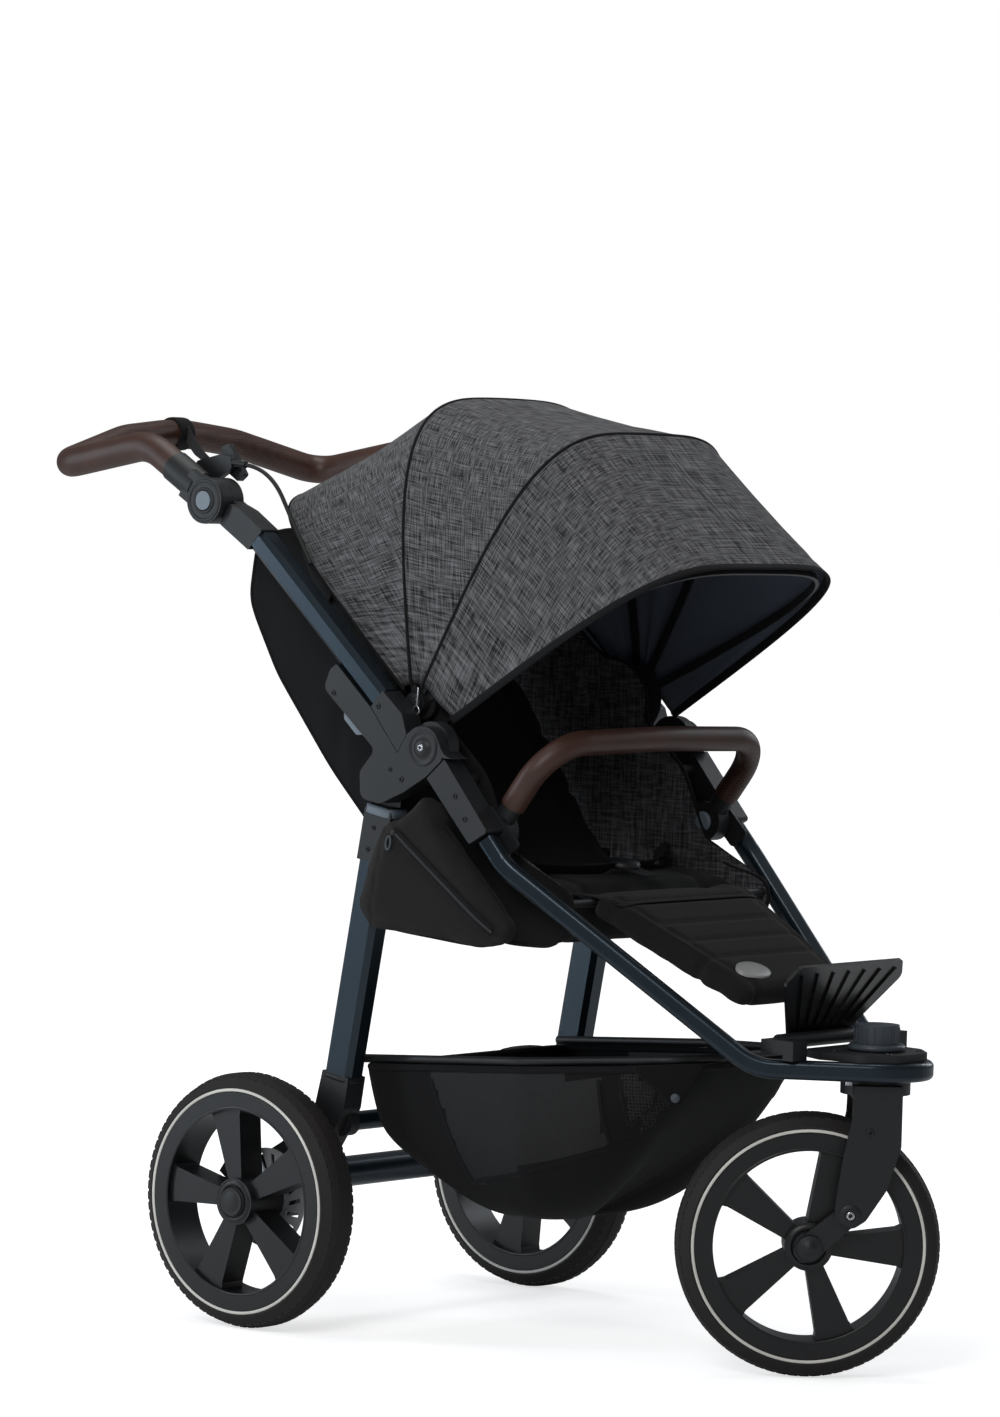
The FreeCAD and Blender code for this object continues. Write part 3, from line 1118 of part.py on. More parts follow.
pouch_outline = [(240, 634, 4), (208, 611, 8), (176, 597, 10), (155, 548, 20), (140, 496, 20),
                 (160, 470, 16), (250, 463, 40), (322, 458, 20), (362, 466, 18),
                 (375, 486, 12), (352, 513, 8)]
pouch_bag = plate("pouch_bag", "XZ_Plane", LEG_OUT + 3, "24", [pouch_outline])
tab = [along(HINGE, SLEEVE_ANGLE, 56, -17.2), along(HINGE, SLEEVE_ANGLE, 56, -32),
       along(HINGE, SLEEVE_ANGLE, 86, -32), along(HINGE, SLEEVE_ANGLE, 86, -16.2)]
pouch_tab = plate("pouch_tab", "XZ_Plane", LEG_OUT + 3, "10", [tab])
keep("side_pouch", fuse("side_pouch", [pouch_bag, pouch_tab]))

# ---------------------------------------------------------------- wrist strap and cable

# A cloth collar around the middle of the cross bar, with a tail drawn over to the brake's
# bracket.
grip_r = size("grip_radius")
bar_middle = Vector(BACK + 0.9, 0, TOP - 1.5)
collar_half = 12
collar_start = bar_middle - Vector(0, collar_half, 0)
collar = cut("strap_collar",
             cylinder("strap_collar_outside", collar_start, Vector(0, 1, 0),
                      "Sizes.grip_radius + 3", str(2 * collar_half)),
             cylinder("strap_collar_inside", collar_start, Vector(0, 1, 0),
                      "Sizes.grip_radius + 1", str(2 * collar_half)))
tail_start = bar_middle + Vector(grip_r + 1.6, 0, 0)
tail_end = Vector(PIVOT[0] - 36, 10.2 - PLATE_IN, PIVOT[1] + 46)
tail_run = tail_end - tail_start
tail = plate("strap_tail", "XY_Plane", -1, "2",
             [[(0, -9), (tail_run.Length, -5), (tail_run.Length, 5), (0, 9)]])
tail.Placement = Placement(tail_start, Rotation(tail_run, Vector(0, 0, 1), Vector(), "XYZ"))
keep("wrist_strap", fuse("wrist_strap", [collar, tail]))

cable_points = [Vector(PIVOT[0] + 25.3, -PLATE_IN + 4.6, PIVOT[1] + 42.5),
                Vector(PIVOT[0] + 62, -PLATE_IN + 6, PIVOT[1] + 38.5),
                Vector(PIVOT[0] + 100, -PLATE_IN + 10, PIVOT[1] - 30),
                Vector(PIVOT[0] + 130, -PLATE_IN + 3.2, PIVOT[1] - 70)]
keep("brake_cable", sweep("brake_cable", cable_points, [0, 22, 24, 0],
                          "1.0 * Sizes.cable_radius"))


# ---------------------------------------------------------------- checks and export

doc.recompute()
for thing in doc.Objects:
    if any(word in state for state in thing.State for word in ("Invalid", "Error")):
        print("PROBLEM", thing.Name, thing.State)
for label, thing in PARTS.items():
    if thing.Shape.isNull() or not thing.Shape.isValid():
        print("BAD SHAPE", label)

whole = FreeCAD.BoundBox()
for thing in PARTS.values():
    whole.add(thing.Shape.optimalBoundingBox(False, False))
shift = Vector(-whole.Center.x, -whole.Center.y, -whole.ZMin)
print("overall", whole.XLength, whole.YLength, whole.ZLength)
print("shift", tuple(round(value, 4) for value in shift))
for label, thing in PARTS.items():
    if label not in MIRRORED:
        move = Placement(shift, Rotation())
        thing.Placement = move.multiply(thing.Placement)
doc.recompute()

os.makedirs("parts", exist_ok=True)
for label, thing in PARTS.items():
    shape = thing.Shape
    bounds = shape.BoundBox
    print("%-20s solids %2d volume %11.1f  x %.1f %.1f  y %.1f %.1f  z %.1f %.1f"
          % (label, len(shape.Solids), shape.Volume, bounds.XMin, bounds.XMax,
             bounds.YMin, bounds.YMax, bounds.ZMin, bounds.ZMax))
    shape.exportStep("parts/%s.step" % label)
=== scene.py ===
import json
import math

import bmesh
import bpy
from mathutils import Matrix, Vector, noise
from mathutils.bvhtree import BVHTree


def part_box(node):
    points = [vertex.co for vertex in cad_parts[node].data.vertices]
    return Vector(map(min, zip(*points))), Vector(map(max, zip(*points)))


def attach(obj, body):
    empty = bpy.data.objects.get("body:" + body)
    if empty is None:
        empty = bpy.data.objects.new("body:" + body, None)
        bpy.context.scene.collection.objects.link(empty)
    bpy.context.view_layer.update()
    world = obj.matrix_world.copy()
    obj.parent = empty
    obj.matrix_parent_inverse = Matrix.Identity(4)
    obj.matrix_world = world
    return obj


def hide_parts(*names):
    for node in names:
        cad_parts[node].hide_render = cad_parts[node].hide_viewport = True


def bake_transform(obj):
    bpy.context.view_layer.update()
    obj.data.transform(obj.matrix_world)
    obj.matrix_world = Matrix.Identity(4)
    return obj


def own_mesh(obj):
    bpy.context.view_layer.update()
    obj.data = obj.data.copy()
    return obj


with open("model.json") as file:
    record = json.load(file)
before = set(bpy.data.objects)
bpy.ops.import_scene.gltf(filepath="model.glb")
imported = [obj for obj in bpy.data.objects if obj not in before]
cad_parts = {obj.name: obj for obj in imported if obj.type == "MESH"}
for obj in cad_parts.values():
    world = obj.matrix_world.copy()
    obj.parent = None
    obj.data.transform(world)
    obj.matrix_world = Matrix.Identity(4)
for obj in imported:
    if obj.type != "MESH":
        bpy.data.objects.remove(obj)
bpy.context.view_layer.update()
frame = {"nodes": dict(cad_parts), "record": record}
nodes = frame["nodes"]

# Everything is placed in millimetres from the rear axle, which p() turns into row metres.
axle_low, axle_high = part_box("rear_axles")
SHIFT = (axle_low.x + axle_high.x) / 2


def p(x, y, z):
    return Vector((x / 1000 + SHIFT, y / 1000, z / 1000))


# ---------------------------------------------------------------- camera, light, floor

def add_camera():
    azimuth, elevation, roll = (math.radians(v) for v in (39.51, 2.29, 1.56))
    back = Vector((math.sin(azimuth) * math.cos(elevation),
                   -math.cos(azimuth) * math.cos(elevation), math.sin(elevation)))
    side = Vector((math.cos(azimuth), math.sin(azimuth), 0))
    up = back.cross(side)
    x_axis = math.cos(roll) * side + math.sin(roll) * up
    y_axis = -math.sin(roll) * side + math.cos(roll) * up
    camera = bpy.data.objects.new("camera", bpy.data.cameras.new("camera"))
    camera.data.lens = 141.0
    camera.data.sensor_width = 36.0
    camera.data.clip_end = 60
    turn = Matrix((x_axis, y_axis, back)).transposed().to_4x4()
    camera.matrix_world = Matrix.Translation(p(4273.86, -5009.97, 978.6)) @ turn
    bpy.context.scene.collection.objects.link(camera)
    bpy.context.scene.camera = camera


def add_light(name, place, target, width, height, power, tint=(1, 1, 1)):
    data = bpy.data.lights.new(name, "AREA")
    data.shape = "RECTANGLE"
    data.size = width
    data.size_y = height
    data.energy = power
    data.color = tint
    light = bpy.data.objects.new(name, data)
    light.location = place
    light.rotation_euler = (Vector(target) - Vector(place)).to_track_quat("-Z", "Y").to_euler()
    bpy.context.scene.collection.objects.link(light)


def add_stage():
    world = bpy.data.worlds.new("studio")
    bpy.context.scene.world = world
    world.use_nodes = True
    tree = world.node_tree
    backdrop = tree.nodes["Background"]
    backdrop.inputs["Color"].default_value = (1, 1, 1, 1)
    backdrop.inputs["Strength"].default_value = 1.0
    room = tree.nodes.new("ShaderNodeBackground")
    room.inputs["Color"].default_value = (0.93, 0.96, 1, 1)
    room.inputs["Strength"].default_value = 0.17
    seen = tree.nodes.new("ShaderNodeLightPath")
    either = tree.nodes.new("ShaderNodeMixShader")
    tree.links.new(seen.outputs["Is Camera Ray"], either.inputs["Fac"])
    tree.links.new(room.outputs["Background"], either.inputs[1])
    tree.links.new(backdrop.outputs["Background"], either.inputs[2])
    tree.links.new(either.outputs["Shader"], tree.nodes["World Output"].inputs["Surface"])
    bpy.ops.mesh.primitive_plane_add(size=60, location=(0, 0, -0.0006))
    floor = bpy.context.object
    floor.name = "floor"
    material = bpy.data.materials.new("floor_white")
    material.use_nodes = True
    shader = material.node_tree.nodes["Principled BSDF"]
    shader.inputs["Base Color"].default_value = (0.9, 0.9, 0.9, 1)
    shader.inputs["Roughness"].default_value = 1.0
    shader.inputs["Specular IOR Level"].default_value = 0.0
    # The floor glows only for the camera, so it isn't a lamp under the object.
    floor_tree = material.node_tree
    glow = floor_tree.nodes.new("ShaderNodeEmission")
    place = floor_tree.nodes.new("ShaderNodeTexCoord")
    distance = floor_tree.nodes.new("ShaderNodeVectorMath")
    distance.operation = "LENGTH"
    strength = floor_tree.nodes.new("ShaderNodeMapRange")
    for socket, value in (("From Min", 0.7), ("From Max", 2.6), ("To Min", 0.66),
                          ("To Max", 0.93)):
        strength.inputs[socket].default_value = value
    floor_tree.links.new(place.outputs["Object"], distance.inputs[0])
    floor_tree.links.new(distance.outputs["Value"], strength.inputs["Value"])
    floor_tree.links.new(strength.outputs["Result"], glow.inputs["Strength"])
    floor_seen = floor_tree.nodes.new("ShaderNodeLightPath")
    none = floor_tree.nodes.new("ShaderNodeEmission")
    none.inputs["Strength"].default_value = 0.0
    pick = floor_tree.nodes.new("ShaderNodeMixShader")
    total = floor_tree.nodes.new("ShaderNodeAddShader")
    floor_tree.links.new(floor_seen.outputs["Is Camera Ray"], pick.inputs["Fac"])
    floor_tree.links.new(none.outputs["Emission"], pick.inputs[1])
    floor_tree.links.new(glow.outputs["Emission"], pick.inputs[2])
    floor_tree.links.new(shader.outputs["BSDF"], total.inputs[0])
    floor_tree.links.new(pick.outputs["Shader"], total.inputs[1])
    floor_tree.links.new(total.outputs["Shader"],
                         floor_tree.nodes["Material Output"].inputs["Surface"])
    floor.data.materials.append(material)
    add_light("key", (1.2, -3.0, 2.4), (0.1, 0, 0.6), 1.4, 1.4, 40)
    add_light("left_strip", (-2.4, -2.2, 1.2), (-0.1, 0, 0.6), 0.4, 2.2, 27, (0.82, 0.91, 1))
    add_light("top", (-0.4, 0.1, 3.2), (0, 0, 0.5), 2.0, 1.2, 27)
    add_light("rim", (0.4, 2.8, 1.6), (0, 0, 0.6), 0.8, 1.6, 13, (0.88, 0.94, 1))
    scene = bpy.context.scene
    scene.view_settings.view_transform = "Standard"
    scene.view_settings.look = "None"
    scene.view_settings.exposure = 0.0


add_camera()
add_stage()


# ---------------------------------------------------------------- materials

def new_material(name):
    material = bpy.data.materials.new(name)
    material.use_nodes = True
    return material, material.node_tree, material.node_tree.nodes["Principled BSDF"]


def link(tree, source, target):
    tree.links.new(source, target)


def coordinates(tree, scale, kind="Object"):
    source = tree.nodes.new("ShaderNodeTexCoord")
    mapping = tree.nodes.new("ShaderNodeMapping")
    mapping.inputs["Scale"].default_value = scale
    link(tree, source.outputs[kind], mapping.inputs["Vector"])
    return mapping.outputs["Vector"]


def noise_node(tree, vector, scale, detail=3.0, roughness=0.5):
    texture = tree.nodes.new("ShaderNodeTexNoise")
    texture.inputs["Scale"].default_value = scale
    texture.inputs["Detail"].default_value = detail
    texture.inputs["Roughness"].default_value = roughness
    link(tree, vector, texture.inputs["Vector"])
    return texture.outputs["Fac"]


def math_node(tree, operation, first, second):
    node = tree.nodes.new("ShaderNodeMath")
    node.operation = operation
    for socket, value in zip(node.inputs, (first, second)):
        if isinstance(value, (int, float)):
            socket.default_value = value
        else:
            link(tree, value, socket)
    return node.outputs[0]


def ramp(tree, factor, stops):
    node = tree.nodes.new("ShaderNodeValToRGB")
    band = node.color_ramp
    while len(band.elements) < len(stops):
        band.elements.new(0.5)
    for element, (place, color) in zip(band.elements, stops):
        element.position = place
        element.color = (*color, 1)
    link(tree, factor, node.inputs["Fac"])
    return node.outputs["Color"]


def bump(tree, shader, height, strength, distance):
    node = tree.nodes.new("ShaderNodeBump")
    node.inputs["Strength"].default_value = strength
    node.inputs["Distance"].default_value = distance
    link(tree, height, node.inputs["Height"])
    link(tree, node.outputs["Normal"], shader.inputs["Normal"])


def moulded(name, color, rough=0.5, grain=900, depth=0.00012, spread=0.12, metal=0.0, coat=0.0):
    """Plastic or coated metal: fine grain, a little colour and gloss variation."""
    material, tree, shader = new_material(name)
    vector = coordinates(tree, (1, 1, 1))
    fine = noise_node(tree, vector, grain, 2.0)
    broad = noise_node(tree, vector, 14, 3.0)
    low = tuple(max(c * (1 - spread), 0) for c in color)
    high = tuple(min(c * (1 + spread), 1) for c in color)
    link(tree, ramp(tree, broad, [(0.3, low), (0.7, high)]), shader.inputs["Base Color"])
    shine = math_node(tree, "MULTIPLY_ADD", broad, 0.12)
    shine.node.inputs[2].default_value = rough - 0.06
    link(tree, shine, shader.inputs["Roughness"])
    shader.inputs["Metallic"].default_value = metal
    shader.inputs["Coat Weight"].default_value = coat
    shader.inputs["Coat Roughness"].default_value = 0.15
    bump(tree, shader, fine, 0.25, depth)
    return material


def woven(name, dark, light, thread=520.0, melange=0.0, sheen=0.25, kind="Object", streak=30.0,
          rough=0.9):
    """Cloth: crossed threads, with light and dark yarns streaked along both directions."""
    material, tree, shader = new_material(name)
    vector = coordinates(tree, (1, 1, 1), kind)
    waves = []
    for direction in ("X", "Y" if kind == "UV" else "Z"):
        wave = tree.nodes.new("ShaderNodeTexWave")
        wave.wave_type = "BANDS"
        wave.bands_direction = direction
        wave.inputs["Scale"].default_value = thread
        wave.inputs["Distortion"].default_value = 1.2
        wave.inputs["Detail"].default_value = 1.0
        wave.inputs["Detail Scale"].default_value = 2.0
        link(tree, vector, wave.inputs["Vector"])
        waves.append(wave.outputs["Fac"])
    weave = math_node(tree, "MULTIPLY", waves[0], waves[1])
    along = coordinates(tree, (streak, 420, 420) if kind == "Object" else (streak, 620, 1), kind)
    across = coordinates(tree, (420, 420, streak) if kind == "Object" else (620, streak, 1), kind)
    yarn_a = noise_node(tree, along, 1.0, 2.0)
    yarn_b = noise_node(tree, across, 1.0, 2.0)
    yarns = math_node(tree, "ADD", yarn_a, yarn_b)
    tone = math_node(tree, "MULTIPLY", yarns, 0.5)
    if melange:
        color = ramp(tree, tone, [(0.40, dark), (0.5, tuple((a + b) / 2.3 for a, b in
                                                           zip(dark, light))), (0.62, light)])
    else:
        color = ramp(tree, weave, [(0.0, dark), (0.9, light)])
    link(tree, color, shader.inputs["Base Color"])
    shader.inputs["Roughness"].default_value = rough
    shader.inputs["Sheen Weight"].default_value = sheen
    shader.inputs["Sheen Roughness"].default_value = 0.5
    shader.inputs["Specular IOR Level"].default_value = 0.25
    height = math_node(tree, "ADD", weave, tone)
    bump(tree, shader, height, 0.45, 0.0004)
    return material


def leather(name, color, operation, limit):
    """Grained leather, punched with small holes where |y| or y passes the limit in metres; each
    hole is painted near-black, as the shade inside it.
    """
    material, tree, shader = new_material(name)
    vector = coordinates(tree, (1, 1, 1))
    cells = tree.nodes.new("ShaderNodeTexVoronoi")
    cells.inputs["Scale"].default_value = 700
    link(tree, vector, cells.inputs["Vector"])
    broad = noise_node(tree, vector, 22, 4.0)
    low = tuple(c * 0.72 for c in color)
    split = tree.nodes.new("ShaderNodeSeparateXYZ")
    link(tree, vector, split.inputs[0])
    across = split.outputs["Y"]
    if operation == "LESS_THAN":
        across = math_node(tree, "ABSOLUTE", across, 0.0)
    inside = math_node(tree, operation, across, limit)
    dots = tree.nodes.new("ShaderNodeTexVoronoi")
    dots.inputs["Scale"].default_value = 290
    dots.inputs["Randomness"].default_value = 0.0
    link(tree, vector, dots.inputs["Vector"])
    hole = math_node(tree, "LESS_THAN", dots.outputs["Distance"], 0.3)
    hole = math_node(tree, "MULTIPLY", hole, inside)
    mix = tree.nodes.new("ShaderNodeMix")
    mix.data_type = "RGBA"
    link(tree, hole, mix.inputs["Factor"])
    link(tree, ramp(tree, broad, [(0.35, low), (0.7, color)]), mix.inputs[6])
    # near-black in the holes: painted shade inside each punched hole
    mix.inputs[7].default_value = (0.006, 0.003, 0.003, 1)
    link(tree, mix.outputs[2], shader.inputs["Base Color"])
    shader.inputs["Roughness"].default_value = 0.46
    bump(tree, shader, cells.outputs["Distance"], 0.2, 0.0004)
    return material


def netting(name, cover):
    """Open mesh: a grid of dark threads; cover is how much a hole still hides."""
    material, tree, shader = new_material(name)
    vector = coordinates(tree, (1, 1, 1), "UV")
    cells = tree.nodes.new("ShaderNodeTexVoronoi")
    cells.inputs["Scale"].default_value = 260
    cells.inputs["Randomness"].default_value = 0.0
    link(tree, vector, cells.inputs["Vector"])
    hole = math_node(tree, "GREATER_THAN", cells.outputs["Distance"], 0.36)
    shader.inputs["Base Color"].default_value = (0.0055, 0.0055, 0.006, 1)
    shader.inputs["Roughness"].default_value = 0.7
    solid = math_node(tree, "MULTIPLY_ADD", hole, 1 - cover)
    solid.node.inputs[2].default_value = cover
    link(tree, solid, shader.inputs["Alpha"])
    bump(tree, shader, cells.outputs["Distance"], 0.5, 0.0004)
    return material


BLACK = moulded("black_plastic", (0.0105, 0.0112, 0.0125), 0.5)
FOOT = moulded("foot_plastic", (0.005, 0.005, 0.0055), 0.3, coat=0.3)
RIM = moulded("rim_plastic", (0.0052, 0.0056, 0.0065), 0.4)
TUBE = moulded("frame_tube", (0.019, 0.032, 0.044), 0.36, 1600, 0.00006, 0.08, 0.75, 0.3)
GREY = moulded("grey_plastic", (0.17, 0.21, 0.25), 0.42)
KNOB = moulded("knob_plastic", (0.05, 0.062, 0.075), 0.45)
STEEL = moulded("steel", (0.55, 0.56, 0.58), 0.25, 1200, 0.00005, 0.1, 1.0)
# The brake discs get a lighter, less metallic copy of the steel: painted light, so they read
# bright where real steel in shadow would reflect the dark room.
LIT_DISC = moulded("disc_steel_painted_light", (0.62, 0.63, 0.65), 0.42, 1200, 0.00005, 0.1, 0.45)
RUBBER = moulded("rubber", (0.009, 0.009, 0.009), 0.6)
TYRE = moulded("tyre", (0.014, 0.0112, 0.0102), 0.72, 420, 0.0004, 0.2)
RING = moulded("ring", (0.82, 0.8, 0.74), 0.6)
BADGE = moulded("badge", (0.42, 0.42, 0.41), 0.4)
GRIP = leather("handle_leather", (0.072, 0.031, 0.021), "LESS_THAN", 0.165)
BUMPER_GRIP = leather("bumper_leather", (0.07, 0.03, 0.02), "GREATER_THAN", 0.13)
MELANGE = woven("melange", (0.013, 0.013, 0.014), (0.215, 0.215, 0.222), 1500, 1.0, 0.05, "UV", 34)
SEAT_MELANGE = woven("seat_melange", (0.016, 0.016, 0.018), (0.13, 0.13, 0.137), 1500, 1.0, 0.05)
LINING = woven("lining", (0.09, 0.108, 0.148), (0.155, 0.178, 0.228), 1400, 0.0, 0.08)
DARK = woven("dark_fabric", (0.0085, 0.0074, 0.0072), (0.029, 0.025, 0.0242), 1100, 0.0, 0.05)
SLING = woven("sling_fabric", (0.0042, 0.0042, 0.0046), (0.0115, 0.0112, 0.012), 1100, 0.0, 0.03)
PIPING = woven("piping", (0.006, 0.006, 0.007), (0.013, 0.013, 0.0145), 1600, 0.0, 0.02)
WEBBING = woven("webbing", (0.006, 0.006, 0.007), (0.016, 0.016, 0.0175), 900, 0.0, 0.02)
NET = netting("netting", 0.93)
OPEN_NET = netting("open_netting", 0.35)

PAINT = {
    "frame_tube": TUBE, "black_plastic": BLACK, "grey_plastic": GREY, "rim_plastic": RIM,
    "tyre": TYRE, "steel": STEEL, "foot_plastic": FOOT, "leather": GRIP, "melange": MELANGE,
    "dark_fabric": DARK, "mesh": SLING, "lining": SLING, "strap": WEBBING, "rubber": RUBBER,
    "knob_plastic": KNOB}
for entry in frame["record"]["subparts"]:
    thing = nodes[entry["node"]]
    thing.data.materials.clear()
    thing.data.materials.append(PAINT[entry["material_slot"]])
# the brake discs take the lit copy of steel, painted light
for name, material in (("right_brake_disc", LIT_DISC), ("left_brake_disc", LIT_DISC),
                       ("rear_axles", BLACK), ("leg_rest_rod", BLACK),
                       ("backrest_rod", BLACK),
                       ("bumper_grip", BUMPER_GRIP)):
    nodes[name].data.materials[0] = material


# ---------------------------------------------------------------- mesh helpers

def new_object(name, mesh, body, *materials):
    thing = bpy.data.objects.new(name, mesh)
    bpy.context.scene.collection.objects.link(thing)
    for material in materials:
        thing.data.materials.append(material)
    if body:
        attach(thing, body)
    return thing


def grid(name, rows, body, *materials, wrap=False, uv=None, thick=0.0, smooth=1):
    """A surface through rows of points. uv holds one (u, v) per point, in metres."""
    mesh = bpy.data.meshes.new(name)
    across = len(rows[0])
    points = [point for row in rows for point in row]
    faces = []
    for i in range(len(rows) - 1):
        for j in range(across if wrap else across - 1):
            k = (j + 1) % across
            faces.append((i * across + j, i * across + k,
                          (i + 1) * across + k, (i + 1) * across + j))
    mesh.from_pydata(points, [], faces)
    if uv:
        layer = mesh.uv_layers.new(name="UVMap")
        flat = [pair for row in uv for pair in row]
        for loop in mesh.loops:
            layer.data[loop.index].uv = flat[loop.vertex_index]
    mesh.update()
    mesh.shade_smooth()
    thing = new_object(name, mesh, body, *materials)
    if thick:
        solid = thing.modifiers.new("thick", "SOLIDIFY")
        solid.thickness = thick
        solid.offset = -1
        if len(materials) > 1:
            solid.material_offset = 1
            solid.material_offset_rim = 1
    if smooth:
        rounded = thing.modifiers.new("smooth", "SUBSURF")
        rounded.levels = smooth
        rounded.render_levels = smooth
    return thing


def tube(name, points, radius, body, material, closed=False, order=4):
    """A round bar on a smooth line through guide points."""
    curve = bpy.data.curves.new(name, "CURVE")
    curve.dimensions = "3D"
    curve.bevel_depth = radius
    curve.bevel_resolution = 4
    curve.resolution_u = 8
    curve.use_fill_caps = True
    spline = curve.splines.new("NURBS")
    spline.points.add(len(points) - 1)
    for target, point in zip(spline.points, points):
        target.co = (*point, 1)
    spline.order_u = min(order, len(points))
    spline.use_endpoint_u = not closed
    spline.use_cyclic_u = closed
    return new_object(name, curve, body, material)


def ribbon(name, points, sides, width, thick, body, material, smooth=1):
    """Flat webbing along points; sides are the width directions."""
    rows = []
    for point, side in zip(points, sides):
        half = Vector(side).normalized() * (width / 2)
        rows.append([point - half, point - half * 0.5, point, point + half * 0.5, point + half])
    return grid(name, rows, body, material, thick=thick, smooth=smooth)


def lathe(name, profile, centre, axis, body, material, segments=48):
    """A turned piece: profile is (radius, distance along axis) in millimetres."""
    turn = Vector((0, 0, 1)).rotation_difference(Vector(axis)).to_matrix()
    rows = []
    for radius, height in profile:
        ring = []
        for step in range(segments):
            angle = 2 * math.pi * step / segments
            local = Vector((radius * math.cos(angle), radius * math.sin(angle), height)) / 1000
            ring.append(centre + turn @ local)
        rows.append(ring)
    return grid(name, rows, body, material, wrap=True, smooth=0)


def screw(name, centre, axis, radius, body, material=None):
    """A domed socket-head screw; the socket's floor is a black disc, painted shade in the recess
    on steel heads and the head's own colour on black ones.
    """
    profile = [(radius * 0.42, -0.4), (radius * 0.42, 1.1), (radius * 0.5, 1.5),
               (radius * 0.8, 1.3), (radius, 0.4), (radius, -0.5)]
    head = lathe(name, profile, centre, axis, body, material or STEEL, 24)
    # black socket floor: painted shade in the recess where the head is steel
    cap = lathe(name + "_socket_shade", [(0.05, 0.3), (radius * 0.44, 0.3), (radius * 0.46, -0.3)],
                centre, axis, body, BLACK, 6)
    return head, cap


# ---------------------------------------------------------------- wheels

def wheel_details(name, body, centre, axis):
    """Off-white line and rim edge on both sides of a wheel, tread grooves, and a hub cap on the
    axis side.
    """
    axis = Vector(axis)
    for number, side in enumerate((1, -1)):
        out = axis * side
        lathe("%s_line_%d" % (name, number),
              [(126.9, 24.6), (127.2, 25.5), (129.9, 25.5), (130.4, 24.4)], centre, out,
              body, RING, 96)
        lathe("%s_wall_%d" % (name, number),
              [(130.9, 24.4), (131.6, 25.2), (133.0, 25.1), (134, 24.0)], centre, out,
              body, TYRE, 96)
        lathe("%s_rim_lip_%d" % (name, number),
              [(106.2, 24.7), (107, 25.5), (108.6, 25.5), (109.4, 24.9)], centre, out,
              body, RIM, 96)
    lathe(name + "_hub_cap",
          [(0.05, 33.6), (6, 33.4), (11, 32.6), (14.6, 31.2), (16.8, 29.4), (17.4, 26.8)],
          centre, axis, body, BLACK)
    lathe(name + "_hub_collar",
          [(18.2, 26.9), (18.6, 28.6), (21, 28.9), (23.6, 28.2), (25.5, 26.8)],
          centre, axis, body, RIM)
    turn = Vector((0, 0, 1)).rotation_difference(axis).to_matrix()
    mesh = bpy.data.meshes.new(name + "_tread")
    work = bmesh.new()
    blocks = 72
    for step in range(blocks):
        for row, (lateral, half_side) in enumerate(((-13.5, 5.2), (-4.4, 3.4), (4.4, 3.4),
                                                    (13.5, 5.2))):
            middle = 2 * math.pi * (step + 0.5 * (row % 2)) / blocks
            half_turn = 0.36 * 2 * math.pi / blocks
            skew = 0.012 * (1 if lateral > 0 else -1)
            drop = 0.75 if abs(lateral) > 10 else 0.0
            corners = []
            for radius in (145.6 - 3.2 * drop, 147.45 - 3.4 * drop):
                for da, dl in ((-1, -1), (1, -1), (1, 1), (-1, 1)):
                    angle = middle + da * half_turn + skew * dl
                    low = 1.5 if abs(lateral) > 10 and dl * lateral > 0 else 0.0
                    reach = radius - low
                    local = Vector((reach * math.cos(angle), reach * math.sin(angle),
                                    lateral + dl * half_side)) / 1000
                    corners.append(work.verts.new(centre + turn @ local))
            for face in ((0, 3, 2, 1), (4, 5, 6, 7), (0, 1, 5, 4), (1, 2, 6, 5),
                         (2, 3, 7, 6), (3, 0, 4, 7)):
                work.faces.new([corners[k] for k in face])
    work.to_mesh(mesh)
    work.free()
    new_object(name + "_tread", mesh, body, TYRE)


wheel_details("right_rear", "right_rear_wheel", p(0, -257.8, 147.5), (0, -1, 0))
wheel_details("left_rear", "left_rear_wheel", p(0, 257.8, 147.5), (0, 1, 0))
swivel = math.radians(40.3)
FORWARD = Vector((math.cos(swivel), math.sin(swivel), 0))
WHEEL_AXIS = Vector((-math.sin(swivel), math.cos(swivel), 0))


def fork_point(x, y, z):
    """A point in the front wheel's own frame: x ahead of the steering axis, y to its left."""
    return p(697.3, 0, z) + (FORWARD * x + WHEEL_AXIS * y) / 1000


wheel_details("front", "front_wheel", fork_point(-70.8, 0, 147.5), -WHEEL_AXIS)


# ---------------------------------------------------------------- canopy

HUB = (188.0, 731.0)


def arch_point(fraction, half_width, reach, power, low, centre, angle):
    """A point on a squared arch; fraction runs 0 to 1 from the right foot to the left."""
    start = math.asin(min(1.0, (low / reach) ** (power / 2)))
    turn = start + (math.pi - 2 * start) * fraction
    cosine = math.cos(turn)
    across = -math.copysign(abs(cosine) ** (2 / power), cosine) * half_width
    s = reach * math.sin(turn) ** (2 / power)
    lean = math.radians(angle)
    return Vector((centre[0] + s * math.cos(lean), across, centre[1] + s * math.sin(lean)))


REAR_EDGE = (209.0, 346.0, 5.0, 20.0, HUB, 137.0)
REAR_ARCH = (211.6, 351.6, 3.8, 20.0, HUB, 97.5)
MIDDLE_ARCH = (207.0, 352.6, 3.9, 20.0, HUB, 62.0)
VISOR_EDGE = (203.0, 405.0, 4.4, 66.0, (188.0, 674.0), 33.0)


